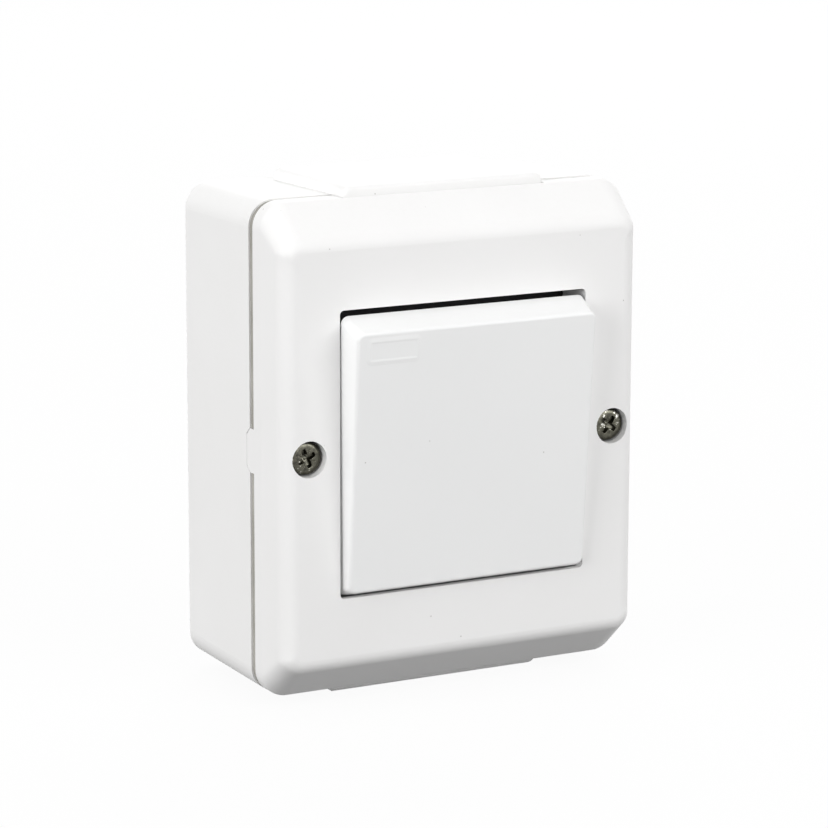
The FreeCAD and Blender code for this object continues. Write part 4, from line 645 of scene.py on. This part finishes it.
def makePlungerSpring(values):
    lowest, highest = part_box("plunger_spring")
    middle, half = (lowest + highest) / 2, (highest - lowest) / 2
    tilt = math.radians(restTilt)
    along = Vector((0.0, math.cos(tilt), math.sin(tilt)))
    across = Vector((0.0, -math.sin(tilt), math.cos(tilt)))
    length = 2.0 * (half.y - half.x * math.sin(tilt)) / math.cos(tilt)
    start = middle - along * (length / 2)
    wire, turns, sides = values["wire"] / 2, values["turns"], values["sides"]
    coil = half.x - wire
    run = length - 2.0 * wire
    closed = values["closedTurn"] * wire
    openTurns = [closed + (run - 2.0 * closed) * turn / (turns - 2) for turn in range(1, turns - 1)]
    places = [0.0, closed] + openTurns + [run]

    def spotAt(turned):
        whole = min(turns - 1, int(turned))
        depth = places[whole] + (places[whole + 1] - places[whole]) * (turned - whole)
        angle = 2.0 * math.pi * turned
        outward = Vector((math.cos(angle), 0.0, 0.0)) + across * math.sin(angle)
        return start + along * (wire + depth) + outward * coil, outward

    points = []
    count = turns * values["perTurn"] + 1
    for index in range(count):
        spot, outward = spotAt(turns * index / (count - 1))
        for side in range(sides):
            angle = 2.0 * math.pi * side / sides
            points.append(spot + outward * (wire * math.cos(angle)) + along * (wire * math.sin(angle)))
    faces = joinRings(count, sides)
    faces += [tuple(reversed(range(sides))), tuple(range((count - 1) * sides, count * sides))]
    piece = addPiece("plungerSpring", points, faces, materials["springSteel"])
    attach(piece, "rocker")
    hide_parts("plunger_spring")
    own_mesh(piece)
    print("spring length", round(length * 1000, 2), "mm")


makePlungerSpring(springSet)
print("plunger spring made")

# Bare sunk field in the rocker's upper left corner: its surround swells gently and steps down to the face

ratingFrameSet = {
    "middle": (-0.01615, 0.01945),  # across and up on the rocker's face, from its middle
    "size": (0.0089, 0.0033),
    "corner": 0.0003,
    "leastCorner": 0.00006,
    "cornerSteps": 6,
    "swell": 0.0007,  # how far out the gentle slope begins
    "step": 0.00030,
    "height": 0.00005,
    "slope": ((1.0, 0.0), (0.7, 0.25), (0.35, 0.72), (0.12, 0.97)),  # shares of swell and height
    "drop": ((0.2, 0.9), (0.8, 0.1), (1.0, 0.0)),  # shares of step and height
    "tuck": (0.0001, 0.00002),  # both edges go this far on, under the rocker's face
    "pivotDepth": 0.0266,
    "faceReach": 0.01385,
}


def roundedLoop(halfWidth, halfHeight, corner, steps):
    loop = []
    for turn, (signX, signZ) in enumerate(((1, 1), (-1, 1), (-1, -1), (1, -1))):
        for step in range(steps + 1):
            angle = math.radians(90.0 * turn + 90.0 * step / steps)
            across = signX * (halfWidth - corner) + corner * math.cos(angle)
            up = signZ * (halfHeight - corner) + corner * math.sin(angle)
            loop.append((across, up))
    return loop


def makeRatingFrame(values):
    halfWidth, halfHeight = values["size"][0] / 2, values["size"][1] / 2
    swell, step, height = values["swell"], values["step"], values["height"]
    tuckOn, tuckUnder = values["tuck"]
    profile = [(-swell - tuckOn, -tuckUnder)]
    profile += [(-swell * out, height * lift) for out, lift in values["slope"]]
    profile += [(0.0, height)]
    profile += [(step * inward, height * lift) for inward, lift in values["drop"]]
    profile += [(step + tuckOn, -tuckUnder)]
    tilt = Matrix.Rotation(math.radians(restTilt), 4, "X")
    points = []
    for inset, lift in profile:
        corner = max(values["leastCorner"], values["corner"] - inset)
        for across, up in roundedLoop(halfWidth - inset, halfHeight - inset, corner, values["cornerSteps"]):
            level = (values["middle"][0] + across, -(values["faceReach"] + lift), values["middle"][1] + up)
            spot = tilt @ Vector(level)
            points.append((spot.x, spot.y - values["pivotDepth"], spot.z))
    faces = joinRings(len(profile), len(points) // len(profile))
    piece = addPiece("ratingFrame", points, faces, materials["rockerPlastic"])
    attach(piece, "rocker")


makeRatingFrame(ratingFrameSet)
print("rocker's bare frame made")

# Stage: a pale floor that keeps a soft shadow, and a white room behind it

stageSet = {
    "floorReach": 6.0,
    "floorGap": 0.00005,
    "floorGlow": 0.94,  # what the camera sees of the floor where no lamp reaches it
    "floorColour": 0.055,
    "worldLight": 0.475,
}


# 1 for what the camera, gloss and glass see, 0 for the light that falls on the object
def seenDirectly(tree, spot):
    path = place(tree, "ShaderNodeLightPath", spot)
    mirrored = place(tree, "ShaderNodeMath", (spot[0] + 180, spot[1]), operation="ADD")
    tree.links.new(path.outputs["Is Glossy Ray"], mirrored.inputs[0])
    tree.links.new(path.outputs["Is Transmission Ray"], mirrored.inputs[1])
    seen = place(tree, "ShaderNodeMath", (spot[0] + 360, spot[1]), operation="ADD", use_clamp=True)
    tree.links.new(path.outputs["Is Camera Ray"], seen.inputs[0])
    tree.links.new(mirrored.outputs[0], seen.inputs[1])
    return seen.outputs[0]


def makeFloor(values):
    material = bpy.data.materials.new("paleFloor")
    material.use_nodes = True
    tree = material.node_tree
    tree.nodes.clear()
    grey = (*(values["floorColour"],) * 3, 1.0)
    matt = place(tree, "ShaderNodeBsdfDiffuse", (-200, 100), {"Color": grey})
    glow = place(tree, "ShaderNodeEmission", (-200, -100))
    strength = place(tree, "ShaderNodeMath", (-400, -100), {1: values["floorGlow"]}, operation="MULTIPLY")
    tree.links.new(seenDirectly(tree, (-1000, -100)), strength.inputs[0])
    tree.links.new(strength.outputs[0], glow.inputs["Strength"])
    both = place(tree, "ShaderNodeAddShader", (20, 0))
    leave = place(tree, "ShaderNodeOutputMaterial", (220, 0))
    tree.links.new(matt.outputs[0], both.inputs[0])
    tree.links.new(glow.outputs[0], both.inputs[1])
    tree.links.new(both.outputs[0], leave.inputs["Surface"])
    reach, level = values["floorReach"], cadBounds[0].z - values["floorGap"]
    corners = [(-reach, -reach, level), (reach, -reach, level), (reach, reach, level), (-reach, reach, level)]
    floor = addPiece("floor", corners, [(0, 1, 2, 3)], material, smooth=False)


def makeRoom(values):
    world = bpy.data.worlds.new("whiteRoom")
    bpy.context.scene.world = world
    world.use_nodes = True
    tree = world.node_tree
    background = tree.nodes["Background"]
    background.inputs["Color"].default_value = (1.0, 1.0, 1.0, 1.0)
    level = place(tree, "ShaderNodeMapRange", (-200, 0), {"To Min": values["worldLight"], "To Max": 1.0})
    tree.links.new(seenDirectly(tree, (-900, 0)), level.inputs["Value"])
    tree.links.new(level.outputs["Result"], background.inputs["Strength"])


lampSet = {
    "leftBox": {"spot": (-1.33, -0.28, 0.15), "size": 1.35, "power": 23.6},
    "frontBox": {"spot": (0.75, -1.40, 0.35), "size": 1.4, "power": 21.8},
    "backBox": {"spot": (0.70, 1.00, 0.90), "size": 1.0, "power": 8.0},
}


def makeLamps(lamps):
    for name, values in lamps.items():
        lampData = bpy.data.lights.new(name, "AREA")
        lampData.shape = "SQUARE"
        lampData.size = values["size"]
        lampData.energy = values["power"]
        lamp = bpy.data.objects.new(name, lampData)
        lamp.location = values["spot"]
        aim = Vector(boxMiddle) - Vector(values["spot"])
        lamp.rotation_euler = aim.to_track_quat("-Z", "Y").to_euler()
        bpy.context.scene.collection.objects.link(lamp)


makeFloor(stageSet)
makeRoom(stageSet)
makeLamps(lampSet)
bpy.context.scene.view_settings.view_transform = "Standard"
print("stage and lamps made")
